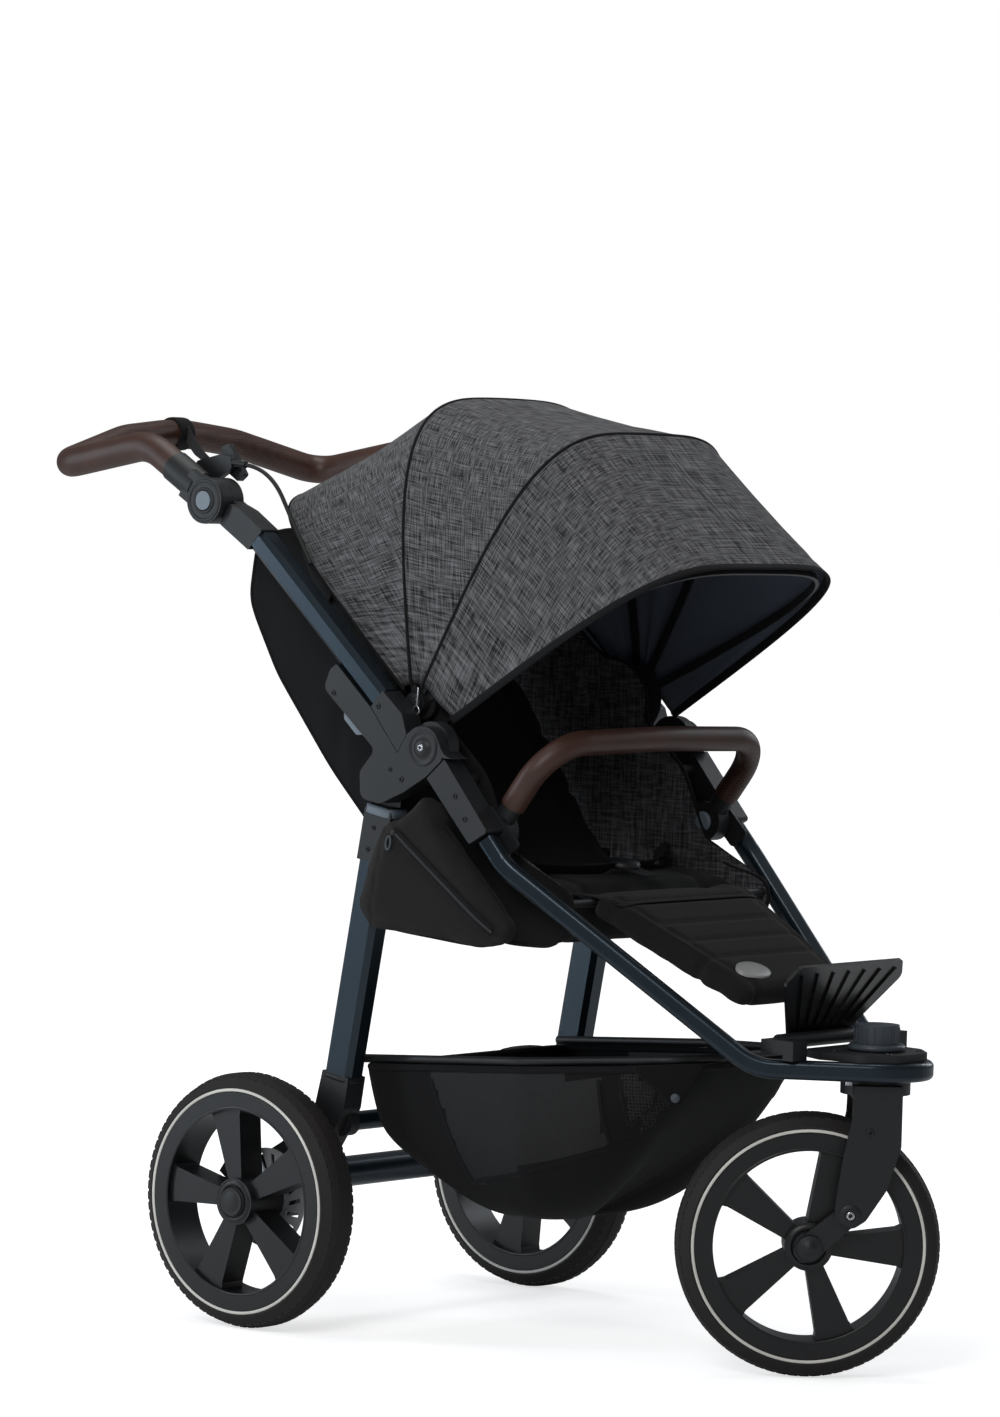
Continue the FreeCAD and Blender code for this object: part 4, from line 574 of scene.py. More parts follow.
def canopy_panel(name, first, second, sag, pleats, seam=None):
    """Cloth between two arches: taut at the bows, drawn in between them, gathered low down."""
    across = 73
    steps = 24
    rows = []
    uv = []
    middle = Vector((HUB[0], 0, HUB[1] + 60))
    for i in range(steps + 1):
        f = i / steps
        row = []
        uv_row = []
        for j in range(across):
            t = j / (across - 1)
            a = arch_point(t, *first)
            b = arch_point(t, *second)
            point = a.lerp(b, f)
            inward = (middle - point).normalized()
            low_down = max(0.0, 1 - min(t, 1 - t) * 5.0)
            pull = math.sin(math.pi * f) * sag * (1 - 0.5 * low_down)
            if seam:
                pull += 1.6 * math.exp(-((f - seam) / 0.022) ** 2)
            ripple = math.sin(f * math.pi * pleats) * 1.6 * low_down ** 1.5
            crease = noise.noise(point / 52.0) * 1.1 + noise.noise(point / 19.0) * 0.35
            fade = math.sin(math.pi * f) ** 0.5 if 0 < f < 1 else 0
            point = point + inward * (pull + (ripple + crease) * fade)
            row.append(p(*point))
            uv_row.append((t * 1.0, (a - b).length * f / 1000))
        rows.append(row)
        uv.append(uv_row)
    cloth = grid(name, rows, None, LINING, MELANGE, uv=uv, thick=0.0012)
    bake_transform(cloth)
    return cloth


canopy_panel_rear = canopy_panel("canopy_rear", REAR_EDGE, REAR_ARCH,
                                 5.0, 5)
canopy_panel_middle = canopy_panel("canopy_middle", REAR_ARCH, MIDDLE_ARCH,
                                   4.0, 5)
canopy_panel_visor = canopy_panel("canopy_visor", MIDDLE_ARCH, VISOR_EDGE,
                                  2.5, 3, 0.875)
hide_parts("rear_cover")
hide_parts("middle_cover")
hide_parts("visor_cover")


def piping(name, arch, body, radius, samples=33, proud=0.6, material=PIPING):
    points = []
    for k in range(samples):
        point = arch_point(k / (samples - 1), *arch)
        outward = (point - Vector((HUB[0], 0, HUB[1] + 60))).normalized()
        points.append(p(*(point + outward * proud)))
    return tube(name, points, radius, body, material)


piping("piping_rear_bow", REAR_ARCH, "rear_bow", 0.0022)
piping("piping_middle_bow", MIDDLE_ARCH, "middle_bow", 0.0022)
piping("piping_rear_edge", REAR_EDGE, "chassis", 0.0018)


def binding(name, arch, body, width):
    """Folded ribbon over the visor's front edge."""
    rows = []
    across = 65
    for out, drop in ((-1.2, -width), (0.9, -width), (1.6, -width * 0.5), (1.7, 0.2),
                      (0.2, 1.6), (-1.8, 0.2), (-2.4, -width * 0.5), (-2.0, -width)):
        row = []
        for j in range(across):
            point = arch_point(j / (across - 1), *arch)
            upper = arch_point(j / (across - 1), *MIDDLE_ARCH)
            down = (point - upper).normalized()
            outward = (point - Vector((HUB[0] + 120, 0, HUB[1] + 40)))
            outward = (outward - outward.dot(down) * down).normalized()
            row.append(p(*(point + down * drop + outward * out)))
        rows.append(row)
    return grid(name, rows, body, PIPING, smooth=1)


binding("visor_binding", VISOR_EDGE, "front_bow", 9.0)


# ---------------------------------------------------------------- soft pads

def copy_mesh(node, name):
    mesh = nodes[node].data.copy()
    mesh.materials.clear()
    mesh.name = name
    return mesh


def puffed(name, node, body, material, shrink, cap, voxel=0.006, pressure=4.0):
    """A stuffed pad grown from a CAD solid by a short pressure simulation."""
    pad = new_object(name, copy_mesh(node, name), None, material)
    bpy.context.view_layer.objects.active = pad
    pad.select_set(True)
    remesh = pad.modifiers.new("remesh", "REMESH")
    remesh.mode = "VOXEL"
    remesh.voxel_size = voxel
    bpy.ops.object.modifier_apply(modifier="remesh")
    pad.data.update()
    normals = [v.normal.copy() for v in pad.data.vertices]
    for vertex, normal in zip(pad.data.vertices, normals):
        vertex.co -= normal * shrink
    rest = [v.co.copy() for v in pad.data.vertices]
    cloth = pad.modifiers.new("cloth", "CLOTH")
    settings = cloth.settings
    settings.use_pressure = True
    settings.uniform_pressure_force = pressure
    settings.effector_weights.gravity = 0
    settings.quality = 4
    settings.mass = 0.4
    cloth.collision_settings.use_collision = False
    cloth.point_cache.frame_end = 20
    scene = bpy.context.scene
    for number in range(1, 15):
        scene.frame_set(number)
    evaluated = pad.evaluated_get(bpy.context.evaluated_depsgraph_get())
    moved = [v.co.copy() for v in evaluated.data.vertices]
    pad.modifiers.remove(cloth)
    scene.frame_set(1)
    for vertex, start, end in zip(pad.data.vertices, rest, moved):
        step = end - start
        if step.length > cap:
            step = step.normalized() * cap
        vertex.co = start + step
    pad.select_set(False)
    smooth_mesh(pad, 4)
    pad.data.shade_smooth()
    rounded = pad.modifiers.new("smooth", "SUBSURF")
    rounded.levels = 1
    rounded.render_levels = 1
    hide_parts(node)
    return pad


def smooth_mesh(thing, rounds, factor=0.5):
    work = bmesh.new()
    work.from_mesh(thing.data)
    for _ in range(rounds):
        bmesh.ops.smooth_vert(work, verts=work.verts, factor=factor, use_axis_x=True,
                              use_axis_y=True, use_axis_z=True)
    work.to_mesh(thing.data)
    work.free()


def press_lines(thing, depth, width, *distances):
    """Sewn channels: each distance maps a point to how far it is from one seam line."""
    for vertex in thing.data.vertices:
        sink = 0.0
        for distance in distances:
            near = abs(distance(vertex.co)) / width
            if near < 1:
                sink = max(sink, (1 - near * near) ** 2)
        vertex.co -= vertex.normal * (depth * sink)


def skin(thing):
    """The piece's surface, to lay smaller pieces on."""
    return BVHTree.FromPolygons([v.co for v in thing.data.vertices],
                                [face.vertices for face in thing.data.polygons])


def touch(surface, start, direction):
    """Where a ray from start first meets the surface."""
    spot = surface.ray_cast(start, direction)[0]
    return spot if spot else surface.find_nearest(start)[0]


def lean_frame(x, z, angle):
    """Turns a point into (along, off) distances from a line through x, z at angle."""
    lean = math.radians(angle)
    start = p(x, 0, z)
    run = Vector((math.cos(lean), 0, math.sin(lean)))
    off = Vector((-math.sin(lean), 0, math.cos(lean)))

    def local(point):
        rel = point - start
        return rel.dot(run), rel.dot(off)
    return local


leg_rest = puffed("leg_rest_pad", "leg_rest", "leg_rest", DARK, 0.003, 0.007)
REST_LEAN = -27.0
rest_frame = lean_frame(398, 514, REST_LEAN)
press_lines(leg_rest, 0.0035, 0.006,
            lambda c: rest_frame(c)[0] - 0.148,
            lambda c: rest_frame(c)[0] - 0.030,
            lambda c: abs(c.y) - (0.122 - 0.2 * rest_frame(c)[0]),
            lambda c: rest_frame(c)[0] - 0.075 if abs(c.y) < 0.1 else 1.0,
            lambda c: rest_frame(c)[0] - 0.112 if abs(c.y) < 0.1 else 1.0)
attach(leg_rest, "leg_rest")

back = puffed("backrest_pad", "backrest", "backrest", SLING, 0.004, 0.009, 0.008)
back_frame = lean_frame(165, 545, 124)
press_lines(back, 0.005, 0.009,
            lambda c: abs(c.y) - 0.112, lambda c: back_frame(c)[0] - 0.24,
            lambda c: back_frame(c)[0] - 0.16, lambda c: back_frame(c)[0] - 0.08)
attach(back, "backrest")

base = puffed("seat_pad", "seat_base", "chassis", SLING, 0.004, 0.008, 0.008)
press_lines(base, 0.004, 0.008, lambda c: abs(c.y) - 0.11,
            lambda c: c.x - p(290, 0, 0).x)
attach(base, "chassis")


seat_skin, rest_skin, back_skin = skin(base), skin(leg_rest), skin(back)
DOWN = Vector((0, 0, -1))
ACROSS = (0, 0.25, 0.5, 0.75, 1)
apron_rows = [[] for _ in ACROSS]
crease_rows = [[] for _ in ACROSS]
for k in range(15):
    y = -150 + 300 * k / 14
    behind = touch(seat_skin, p(366, y, 640), DOWN)
    ahead = touch(rest_skin, p(436, y * 0.86, 640), DOWN)
    for row, f in zip(apron_rows, ACROSS):
        bow = 0.004 * math.sin(math.pi * f) + 0.0012
        row.append(behind.lerp(ahead, f) + Vector((0, 0, bow)))
    low = touch(seat_skin, p(212, y * 1.14, 640), DOWN)
    high = touch(back_skin, p(300, y * 1.14, 590), Vector((-1, 0, 0)))
    for row, f in zip(crease_rows, ACROSS):
        dip = Vector((-0.7, 0, -0.7)) * (0.008 * math.sin(math.pi * f)) + Vector((0.001, 0, 0.001))
        row.append(low.lerp(high, f) + dip)
apron = grid("seat_apron", apron_rows, None, DARK, thick=0.0015)
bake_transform(apron)
crease = grid("seat_crease", crease_rows, None, SLING, thick=0.0015)
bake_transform(crease)


# The curtain closes the back, from the canopy's rear edge down to the backrest's head.
curtain_rows = []
for f in (0, 0.15, 0.3, 0.45, 0.6, 0.75, 0.9, 1.0):
    row = []
    for k in range(41):
        edge = arch_point(0.06 + 0.88 * k / 40, *REAR_EDGE)
        away = math.dist((edge.x, edge.z), HUB)
        w = min(1.0, max(0.0, (away - 90) / 150))
        w = w * w * (3 - 2 * w)
        head = Vector((-6, max(-158, min(158, edge.y)), 806))
        spot = edge.lerp(head, f * w)
        pleat = 2.2 * math.sin(edge.y / 9.0) * math.sin(math.pi * min(1.0, f * 1.2)) * w
        row.append(p(spot.x - pleat, spot.y * 0.985, spot.z))
    curtain_rows.append(row)
curtain = grid("back_curtain", curtain_rows, None, SLING, thick=0.0012)
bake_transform(curtain)


# ---------------------------------------------------------------- seat sides

WING = [(188, 500), (311, 464), (384, 465), (408, 500), (404, 529), (330, 546), (306, 585),
        (276, 652), (214, 706), (222, 742), (190, 775), (148, 778), (46, 872),
        (-16, 926), (-80, 912),
        (-90, 837), (-43, 754), (43, 649), (100, 592)]


def spread(outline, count):
    """Points evenly spaced around a closed outline."""
    lengths = []
    total = 0.0
    for a, b in zip(outline, outline[1:] + outline[:1]):
        lengths.append(total)
        total += math.dist(a, b)
    found = []
    for k in range(count):
        goal = total * k / count
        index = max(i for i, value in enumerate(lengths) if value <= goal + 1e-9)
        a = outline[index]
        b = outline[(index + 1) % len(outline)]
        f = (goal - lengths[index]) / math.dist(a, b)
        found.append((a[0] + (b[0] - a[0]) * f, a[1] + (b[1] - a[1]) * f))
    return found


def fill_outline(name, outline, middle, depth, body, *materials, rings=24, count=150,
                 edge_y=0.0, side=-1, folds=0.0):
    """Cloth filling a flat outline at y = edge_y, bulging by depth toward the side."""
    edge = spread(outline, count)
    rows = []
    for ring in range(rings + 1):
        f = ring / rings
        row = []
        for x, z in edge:
            px = middle[0] + (x - middle[0]) * (1 - f)
            pz = middle[1] + (z - middle[1]) * (1 - f)
            bulge = depth * math.sin(min(1.0, f * 1.6) * math.pi / 2)
            crease = noise.noise(Vector((px / 21, pz / 110, side))) * folds * math.sin(
                min(1, f * 2) * math.pi / 2)
            row.append(p(px, side * (edge_y + bulge + crease), pz))
        rows.append(row)
    return grid(name, rows, body, *materials, wrap=True, smooth=1)


for side, side_name in ((-1, "right"), (1, "left")):
    outer = fill_outline("seat_side_outer_" + side_name, WING, (150, 650), 3.0, "chassis",
                         SLING, edge_y=183.6, side=side, folds=2.0)
    inner = fill_outline("seat_side_inner_" + side_name, WING, (150, 650), -2.0, "chassis",
                         SEAT_MELANGE, edge_y=181.4, side=side, folds=-5.0)
    edge_points = [p(x, side * 182.5, z) for x, z in spread(WING, 60)]
    tube("seat_side_edge_" + side_name, edge_points, 0.0024, "chassis", PIPING, True)
    if side < 0:
        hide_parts("seat_wings")


# ---------------------------------------------------------------- basket

RIM_Z = 30.0 / 430.0


def rim_height(x):
    return 310 + (x - 100) * RIM_Z


BASKET_PLAN = [(101, -160), (101, -178), (116, -183), (200, -183), (330, -181), (415, -155),
               (492, -123), (520, -98), (530, -66), (532, 0)]


# How far out the bag's rear end is at each depth: steep at first, then a slant to the floor.
REAR_FALL = [(0.0, 1.0), (0.46, 0.86), (0.72, 0.42), (0.93, 0.06), (1.0, 0.0)]


def rear_reach(down):
    for (a, near), (b, far) in zip(REAR_FALL, REAR_FALL[1:]):
        if down <= b:
            return near + (far - near) * (down - a) / (b - a)
    return 0.0


def basket_rows(inset, levels):
    half = BASKET_PLAN
    loop = [(101, 0)] + half + [(x, -y) for x, y in reversed(half[:-1])]
    edge = spread(loop, 132)
    rows = []
    for level in levels:
        row = []
        for x, y in edge:
            spine = min(max(x, 250), 280)
            forward = max(0.0, (x - 300) / 230)
            rearward = max(0.0, (140 - x) / 40)
            power = 3.4 - 2.2 * forward - 0.6 * rearward
            turn = level * math.pi / 2
            out = math.cos(turn) ** (2 / power)
            down = math.sin(turn) ** (2 / power)
            top = rim_height(x)
            bottom = 137.0 + inset
            reach = rear_reach(down) if x < 250 else out
            px = spine + (x - spine) * reach * (1 - inset / 180)
            py = y * out * (1 - inset / 180)
            sag = (noise.noise(Vector((px / 55, level * 3, 7))) * 5.0
                   + noise.noise(Vector((px / 17, level * 5, 3))) * 1.6) * math.sin(turn * 2)
            row.append(p(px, py * (1 - 0.02 * math.sin(turn * 2)) - math.copysign(sag, y) * 0.6,
                         top + (bottom - top) * down))
        rows.append(row)
    return rows


levels = [0, 0.03, 0.07, 0.12, 0.18, 0.24, 0.3, 0.36, 0.42, 0.48, 0.54, 0.6, 0.66, 0.72, 0.78,
          0.84, 0.9, 0.96, 0.999]
basket = grid("basket_bag", basket_rows(1.0, levels), "chassis", SLING, NET, OPEN_NET, wrap=True,
              thick=0.0016)
basket_uv = basket.data.uv_layers.new(name="UVMap")
for loop in basket.data.loops:
    co = basket.data.vertices[loop.vertex_index].co
    basket_uv.data[loop.index].uv = (co.x + co.y * 0.4, co.z)
basket.modifiers["thick"].material_offset = 0
basket.modifiers["thick"].material_offset_rim = 0
for face in basket.data.polygons:
    co = face.center
    x = (co.x - SHIFT) * 1000
    z = co.z * 1000
    panel_left = 208 + (306 - z) * 0.376
    panel_low = 184 + max(0, x - 258) * 0.346
    side_panel = panel_left < x < 422 and panel_low < z < rim_height(x) - 9
    window = 448 < x < 500 and 268 < z < rim_height(x) - 12
    if abs(co.y) > 0.1 and (side_panel or window):
        face.material_index = 2 if window else 1
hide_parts("basket")


def crumple(piece):
    """Gives the piece its own copy of its mesh."""
    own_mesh(piece)


basket_skin = skin(basket)
crumple(basket)


def on_basket(x, z, side):
    """The spot on the bag's side at x, z, just proud of the cloth."""
    start = p(x, side * 300, z)
    spot, normal, _, _ = basket_skin.ray_cast(start, Vector((0, -side, 0)))
    if spot is None:
        spot, normal, _, _ = basket_skin.find_nearest(p(x, side * 140, z))
    outward = normal if normal.y * side > 0 else -normal
    return spot + outward * 0.0012, outward


def basket_seam(name, line, side, width=0.005):
    """A bound seam sewn along the bag's side."""
    points = []
    sides = []
    spots = []
    for (xa, za), (xb, zb) in zip(line, line[1:]):
        spots += [(xa + (xb - xa) * k / 6, za + (zb - za) * k / 6) for k in range(6)]
    spots.append(line[-1])
    for k, (x, z) in enumerate(spots):
        spot, outward = on_basket(x, z, side)
        xa, za = spots[max(0, k - 1)]
        xb, zb = spots[min(len(spots) - 1, k + 1)]
        run = Vector((xb - xa, 0, zb - za)).normalized()
        points.append(spot)
        sides.append(outward.cross(run))
    crumple(ribbon(name, points, sides, width, 0.0012, "chassis", PIPING))


for side, side_name in ((-1, "right"), (1, "left")):
    basket_seam("basket_seam_rear_" + side_name, [(206, 302), (232, 240), (252, 186)], side)
    basket_seam("basket_seam_low_" + side_name, [(252, 186), (340, 208), (424, 240),
                                                 (478, 262)], side)
    basket_seam("basket_seam_front_" + side_name, [(424, 318), (424, 280), (424, 242)], side)
    basket_seam("basket_window_" + side_name, [(447, 320), (447, 268), (500, 268),
                                               (504, 322)], side, 0.004)

hem_points = [p(x, y, rim_height(x) - 4) for x, y in
              spread([(101, 0)] + BASKET_PLAN + [(x, -y) for x, y in
                                                 reversed(BASKET_PLAN[:-1])], 60)]
tube("basket_hem", hem_points, 0.004, "chassis", PIPING, True)

# ---------------------------------------------------------------- side pouch

pouch = puffed("pouch", "side_pouch", "chassis", DARK, 0.002, 0.009, 0.005)
ZIP_FROM, ZIP_TO = (203, 588), (350, 482)
zip_run = Vector((ZIP_TO[0] - ZIP_FROM[0], ZIP_TO[1] - ZIP_FROM[1])).normalized()


def beside_zip(c):
    """Distance in metres from the zip's line, seen from the side."""
    rel = Vector(((c.x - p(ZIP_FROM[0], 0, 0).x), c.z - ZIP_FROM[1] / 1000))
    return abs(rel.x * zip_run.y - rel.y * zip_run.x)


def gusset_seam(c):
    """Distance in metres from the seam that runs down the pouch's rear edge."""
    return c.x - p(178, 0, 0).x - (c.z - 0.53) * 0.16


press_lines(pouch, 0.0022, 0.0035, lambda c: beside_zip(c) - 0.0085, gusset_seam)
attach(pouch, "chassis")


pouch_skin = skin(pouch)


def on_pouch(x, z, proud=0.8):
    """The spot on the pouch's outer face at x, z."""
    return touch(pouch_skin, p(x, -320, z), Vector((0, 1, 0))) - Vector((0, proud / 1000, 0))


zip_line = [on_pouch(ZIP_FROM[0] + (ZIP_TO[0] - ZIP_FROM[0]) * k / 12,
                     ZIP_FROM[1] + (ZIP_TO[1] - ZIP_FROM[1]) * k / 12) for k in range(13)]
zip_side = Vector((-zip_run.y, 0, zip_run.x))
ribbon("pouch_zip_tape", zip_line, [zip_side] * 13, 0.012, 0.0008, "chassis", WEBBING)
tube("pouch_zip", [point + Vector((0, -0.0006, 0)) for point in zip_line], 0.0018, "chassis",
     BLACK)
lathe("pouch_zip_slider", [(0.05, 3.0), (2.6, 2.8), (3.6, 1.6), (3.8, -0.4)],
      on_pouch(206, 585, 1.4), (0, -1, 0), "chassis", BLACK, 16)
pull_points = [on_pouch(199 + 4.2 * math.cos(a), 573 + 9 * math.sin(a), 2.4)
               for a in (0, 1.05, 2.09, 3.14, 4.19, 5.24)]
tube("pouch_zip_pull", pull_points, 0.0013, "chassis", KNOB, True)
POUCH_OUTLINE = [(240, 633), (206, 611), (177, 596), (156, 548), (141, 498), (160, 471),
                 (250, 464), (322, 459), (360, 467), (374, 486), (352, 512), (300, 569)]
edge_line = [pouch_skin.find_nearest(p(x, -240, z))[0] for x, z in POUCH_OUTLINE]
tube("pouch_edge", edge_line, 0.0022, "chassis", PIPING, True)

# ---------------------------------------------------------------- straps and cable


def strap_points(guide):
    return [p(*point) for point in guide]


for side, side_name in ((-1, "right"), (1, "left")):
    waist = [(250, side * 176, 560), (272, side * 150, 549), (300, side * 100, 543),
             (318, side * 50, 542), (330, side * 16, 546)]
    ribbon("waist_strap_" + side_name, strap_points(waist), [(0.7, 0, 0.5)] * 5, 0.026, 0.002,
           "chassis", WEBBING)
ribbon("crotch_strap", strap_points([(378, 0, 538), (362, 0, 541), (346, 0, 544),
                                     (332, 0, 552)]), [(0, 1, 0)] * 4, 0.034, 0.0024,
       "chassis", WEBBING)
lathe("buckle", [(0.05, 9), (14, 8.6), (20, 6.4), (22, 2), (21, -2), (0.05, -3)],
      p(332, 0, 546), (0.1, 0, 1), "chassis", BLACK, 6)

# wrist strap: a collar on the middle of the bar and a tail that narrows to the bracket
BAR_MIDDLE = (-384.1, 0.0, 1032.5)
collar_rows = []
for y, grow in ((-13, 18.6), (-12.6, 20.2), (-7, 20.6), (0, 20.4), (7, 20.7), (12.6, 20.2),
                (13, 18.6)):
    collar_rows.append([p(BAR_MIDDLE[0] + grow * math.cos(2 * math.pi * k / 48), y,
                          BAR_MIDDLE[2] + grow * math.sin(2 * math.pi * k / 48))
                        for k in range(48)])
strap = grid("strap_collar", collar_rows, "handle", WEBBING, wrap=True, smooth=1)
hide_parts("wrist_strap")
tail_from = Vector((BAR_MIDDLE[0] + 19.1, 0, BAR_MIDDLE[2]))
tail_to = Vector((-140, -202.8, 999))
tail_rows = []
for k in range(15):
    f = k / 14
    middle = tail_from.lerp(tail_to, f) - Vector((0, 0, 5 * math.sin(math.pi * f)))
    half = (11.5 - 7.5 * f ** 0.6) * (1 + 0.05 * math.sin(f * 19))
    lean = math.radians(12 * math.sin(math.pi * f))
    row = []
    for g in (-1.0, -0.94, -0.5, 0.0, 0.5, 0.94, 1.0):
        fold = 0.7 * math.sin(g * 3.0) * (1 - f)
        row.append(p(middle.x + half * g * math.sin(lean) * 0.66 + fold,
                     middle.y + half * g * math.sin(lean) * 0.74,
                     middle.z + half * g * math.cos(lean)))
    tail_rows.append(row)
grid("strap_tail", tail_rows, "handle", WEBBING, thick=0.0018)
screw("strap_stud", p(-146, -201, 1000), (-0.3, 0.9, 0), 3.2, "handle")

route = [(-78.7, -208.4, 995.5), (-42, -207, 991.5), (-4, -203, 923), (26, -209.8, 883)]
cable_curve = bpy.data.curves.new("brake_cable_line", "CURVE")
cable_curve.dimensions = "3D"
cable_curve.bevel_depth = 0.0025
cable_curve.resolution_u = 16
cable_spline = cable_curve.splines.new("NURBS")
cable_spline.points.add(len(route) - 1)
for target, point in zip(cable_spline.points, route):
    target.co = (*p(*point), 1)
cable_spline.use_endpoint_u = True
cable_spline.order_u = 3
cable = new_object("brake_cable_line", cable_curve, "handle", RUBBER)
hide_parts("brake_cable")

# ---------------------------------------------------------------- small hardware

OUT = 243.0
for side, side_name in ((-1, "right"), (1, "left")):
    axis = (0, side, 0)
    for number, (x, z, radius, body) in enumerate((
            (201, 645, 3.6, "chassis"), (184, 655, 2.6, "chassis"), (96, 738, 3.2, "chassis"),
            (281, 630, 3.4, "chassis"), (296, 605, 3.4, "chassis"),
            (164, 726, 3.2, "push_frame"))):
        screw("plate_screw_%s_%d" % (side_name, number), p(x, side * OUT, z), axis, radius,
              body, BLACK)
    lathe("hinge_cap_" + side_name, [(0.05, 3.4), (7, 3.3), (9.5, 2.4), (10.4, 0.6),
                                     (17, 0.7), (18.4, 1.6), (20.4, 1.5), (21.4, -0.4)],
          p(231, side * OUT, 682), axis, "chassis", BLACK)
    screw("hinge_screw_" + side_name, p(231, side * (OUT + 3.2), 682), axis, 4.2, "chassis")
    lathe("pivot_ring_" + side_name, [(11.6, -0.5), (12.0, 1.0), (13.4, 1.4), (15.2, 1.0),
                                      (15.8, -0.6)],
          p(-104, side * 252, 953), axis, "handle", BLACK)
    lathe("pivot_edge_" + side_name, [(20.5, -0.4), (21.5, 0.9), (24.5, 0.8), (26.9, -1.2),
                                      (27.25, -4), (27.1, -6)],
          p(-104, side * 252, 953), axis, "handle", BLACK)
    for number, (x, z) in enumerate(((146, 586), (138, 561))):
        screw("leg_screw_%s_%d" % (side_name, number), p(x, side * 225, z), axis, 3.0,
              "rear_frame", BLACK)
    lathe("canopy_cap_" + side_name, [(0.05, 1.5), (7, 1.4), (9.6, 0.4), (10.8, -1.6)],
          p(188, side * 211.6, 731), axis, "chassis", BLACK)
    lathe("inner_cap_" + side_name, [(0.05, 3.6), (11, 3.4), (16, 2.2), (18.6, -0.4)],
          p(188, side * 184.9, 731), (0, -side, 0), "chassis", BLACK)
    lathe("hub_gather_" + side_name, [(0.05, 0.6), (20, 0.5), (34, -0.4), (41, -3), (43, -8)],
          p(188, side * 185.6, 731), (0, -side, 0), "chassis", PIPING)
    lathe("knuckle_button_" + side_name, [(0.05, 2.6), (8, 2.4), (11.4, 1.2), (12, -0.6)],
          p(305, side * 183.4, 591), (0, -side, 0), "bumper", GREY)
    screw("fork_pivot_" + side_name, fork_point(-27, side * 46.5, 185.5), WHEEL_AXIS * side,
          5.2, "fork")
    lathe("fork_pivot_boss_" + side_name, [(6, 0.9), (11.5, 0.9), (12.6, -0.3)],
          fork_point(-27, side * 46.5, 185.5), WHEEL_AXIS * side, "fork", BLACK)
    screw("fork_screw_" + side_name, fork_point(-8, side * 46.5, 278), WHEEL_AXIS * side, 4.6,
          "fork", BLACK)
    lathe("axle_boss_" + side_name, [(0.05, 7.4), (6.0, 7.2), (7.2, 5.4), (11.5, 5.6),
                                     (13.6, 4.6), (14.5, 1.5), (14.8, -0.6)],
          fork_point(-70.8, side * 36, 147.5), WHEEL_AXIS * side, "swing_arm", BLACK)
    # rounded collars around each leg: at the top under the plate and above the foot
    for name, at, length, size_up in (("leg_cap", 316.0, 12.0, 1.7), ("foot_collar", -1.0,
                                                                      7.0, 1.2)):
        lean = math.radians(10)
        rise = Vector((math.sin(lean), 0, math.cos(lean)))
        flat = Vector((math.cos(lean), 0, -math.sin(lean)))
        start = p(98, side * 210, 300) + rise * (at - length) / 1000
        rows = []
        for grow, height in ((-1.5, 0.0), (0.0, 0.6), (size_up, 1.6), (size_up, length - 1.6),
                             (0.0, length - 0.5), (-1.6, length)):
            ring = []
            for step in range(32):
                angle = 2 * math.pi * step / 32
                cx = math.copysign(abs(math.cos(angle)) ** 0.45, math.cos(angle))
                cy = math.copysign(abs(math.sin(angle)) ** 0.45, math.sin(angle))
                ring.append(start + rise * height / 1000 + flat * cx * (20 + grow) / 1000
                            + Vector((0, 1, 0)) * cy * (15 + grow) / 1000)
            rows.append(ring)
        grid(name + "_" + side_name, rows, "rear_frame", GREY if name == "leg_cap" else BLACK,
             wrap=True, smooth=0)

# steering housing: rim bead, bolts and ribs of the lock knob
for number, (x, y) in enumerate(((672, -44), (672, 44), (735, -30), (735, 30))):
    screw("housing_bolt_%d" % number, p(x, y, 364.7), (0, 0, 1), 4.0, "chassis", BLACK)
lathe("knob_dome", [(0.05, 30.6), (8, 30.5), (17, 29.8), (22.5, 28.4), (24.6, 26.6)],
      p(697.3, 0, 365), (0, 0, 1), "lock_knob", KNOB)
lathe("knob_collar", [(29.2, 0.6), (31.5, 0.8), (32.5, 2.5), (32, 5.5), (30, 7.2), (28.8, 7.4)],
      p(697.3, 0, 365), (0, 0, 1), "lock_knob", KNOB)
ridge_count = 18
for number in range(ridge_count):
    angle = 2 * math.pi * number / ridge_count
    tube("knob_ridge_%02d" % number,
         [p(697.3 + 24.9 * math.cos(angle), 24.9 * math.sin(angle), z)
          for z in (374, 380, 386, 391)], 0.0009, "lock_knob", KNOB)

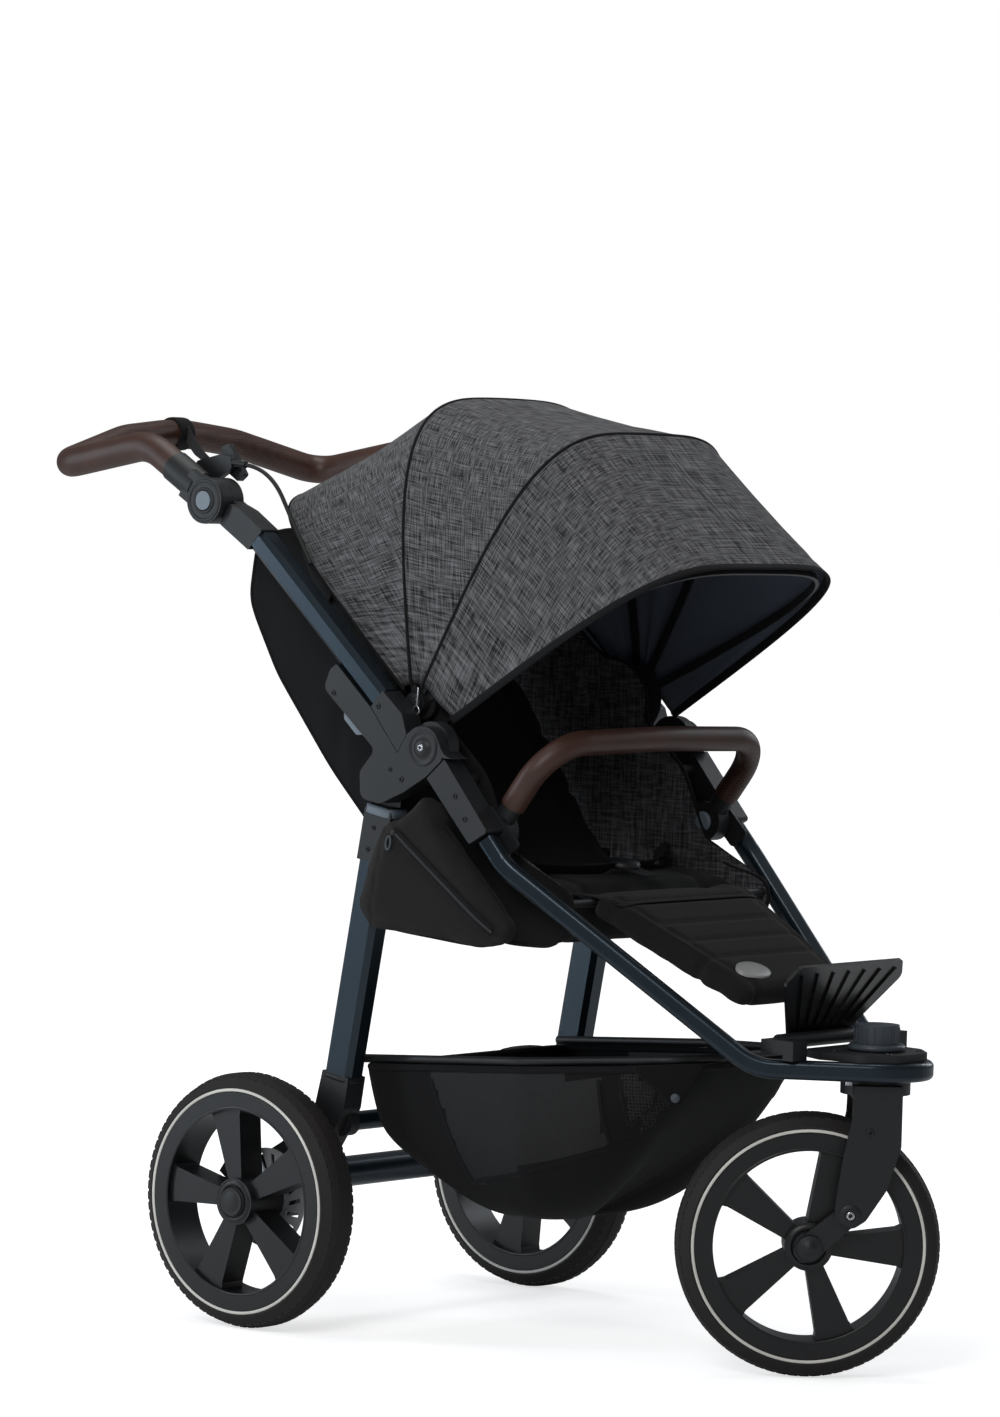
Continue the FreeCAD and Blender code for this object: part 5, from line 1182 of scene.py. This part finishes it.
# canopy zip pull hanging over the right plate
tube("zip_cord", [p(196, -211.5, 748), p(197, -213, 738), p(196, -214, 728)], 0.0012,
     "chassis", STEEL)
ring_points = [p(196 + 5 * math.cos(a), -214.2, 722 + 6 * math.sin(a))
               for a in (0, 1.05, 2.09, 3.14, 4.19, 5.24)]
tube("zip_ring", ring_points, 0.0011, "chassis", STEEL, True)

# plain oval badge on the leg rest, near its lower end
rest_lean = math.radians(REST_LEAN)
rest_run = Vector((math.cos(rest_lean), 0, math.sin(rest_lean)))
rest_up = Vector((-math.sin(rest_lean), 0, math.cos(rest_lean)))
badge_rows = []
badge_centre = touch(rest_skin, p(398, -58, 514) + rest_run * 0.181 + rest_up * 0.1, -rest_up)
for scale, lift in ((1.0, -4.0), (0.97, 1.0), (0.9, 2.0), (0.5, 2.6), (0.02, 2.7)):
    ring = []
    for step in range(40):
        angle = 2 * math.pi * step / 40
        spot = badge_centre + rest_run * (0.017 * scale * math.sin(angle))
        ring.append(spot + rest_up * lift / 1000
                    + Vector((0, 0.027 * scale * math.cos(angle), 0)))
    badge_rows.append(ring)
grid("leg_rest_badge", badge_rows, "leg_rest", BADGE, wrap=True, smooth=0)

# basket flap with a press stud over the front corner of the near side
flap_rows = []
for f in (0.0, 0.25, 0.5, 0.75, 1.0):
    row = []
    for g in (0.0, 0.2, 0.4, 0.6, 0.8, 1.0):
        left = Vector((462, -145, 337))
        right = Vector((530, -86, 342))
        tip = Vector((512, -118, 288))
        top = left.lerp(right, g)
        point = top.lerp(tip + (top - tip) * 0.14, f)
        out = Vector((0.45, -0.89, 0)) * (4.5 + 2.5 * math.sin(f * 3.0))
        row.append(p(*(point + out)))
    flap_rows.append(row)
flap = grid("basket_flap", flap_rows, "chassis", SLING, thick=0.0016)
crumple(flap)
flap_stud = lathe("flap_stud", [(0.05, 2.2), (2.6, 2.0), (4.6, 1.2), (5.4, 0)],
                  p(513.5, -124.5, 303), (0.45, -0.89, 0), "chassis", KNOB, 24)
crumple(flap_stud)
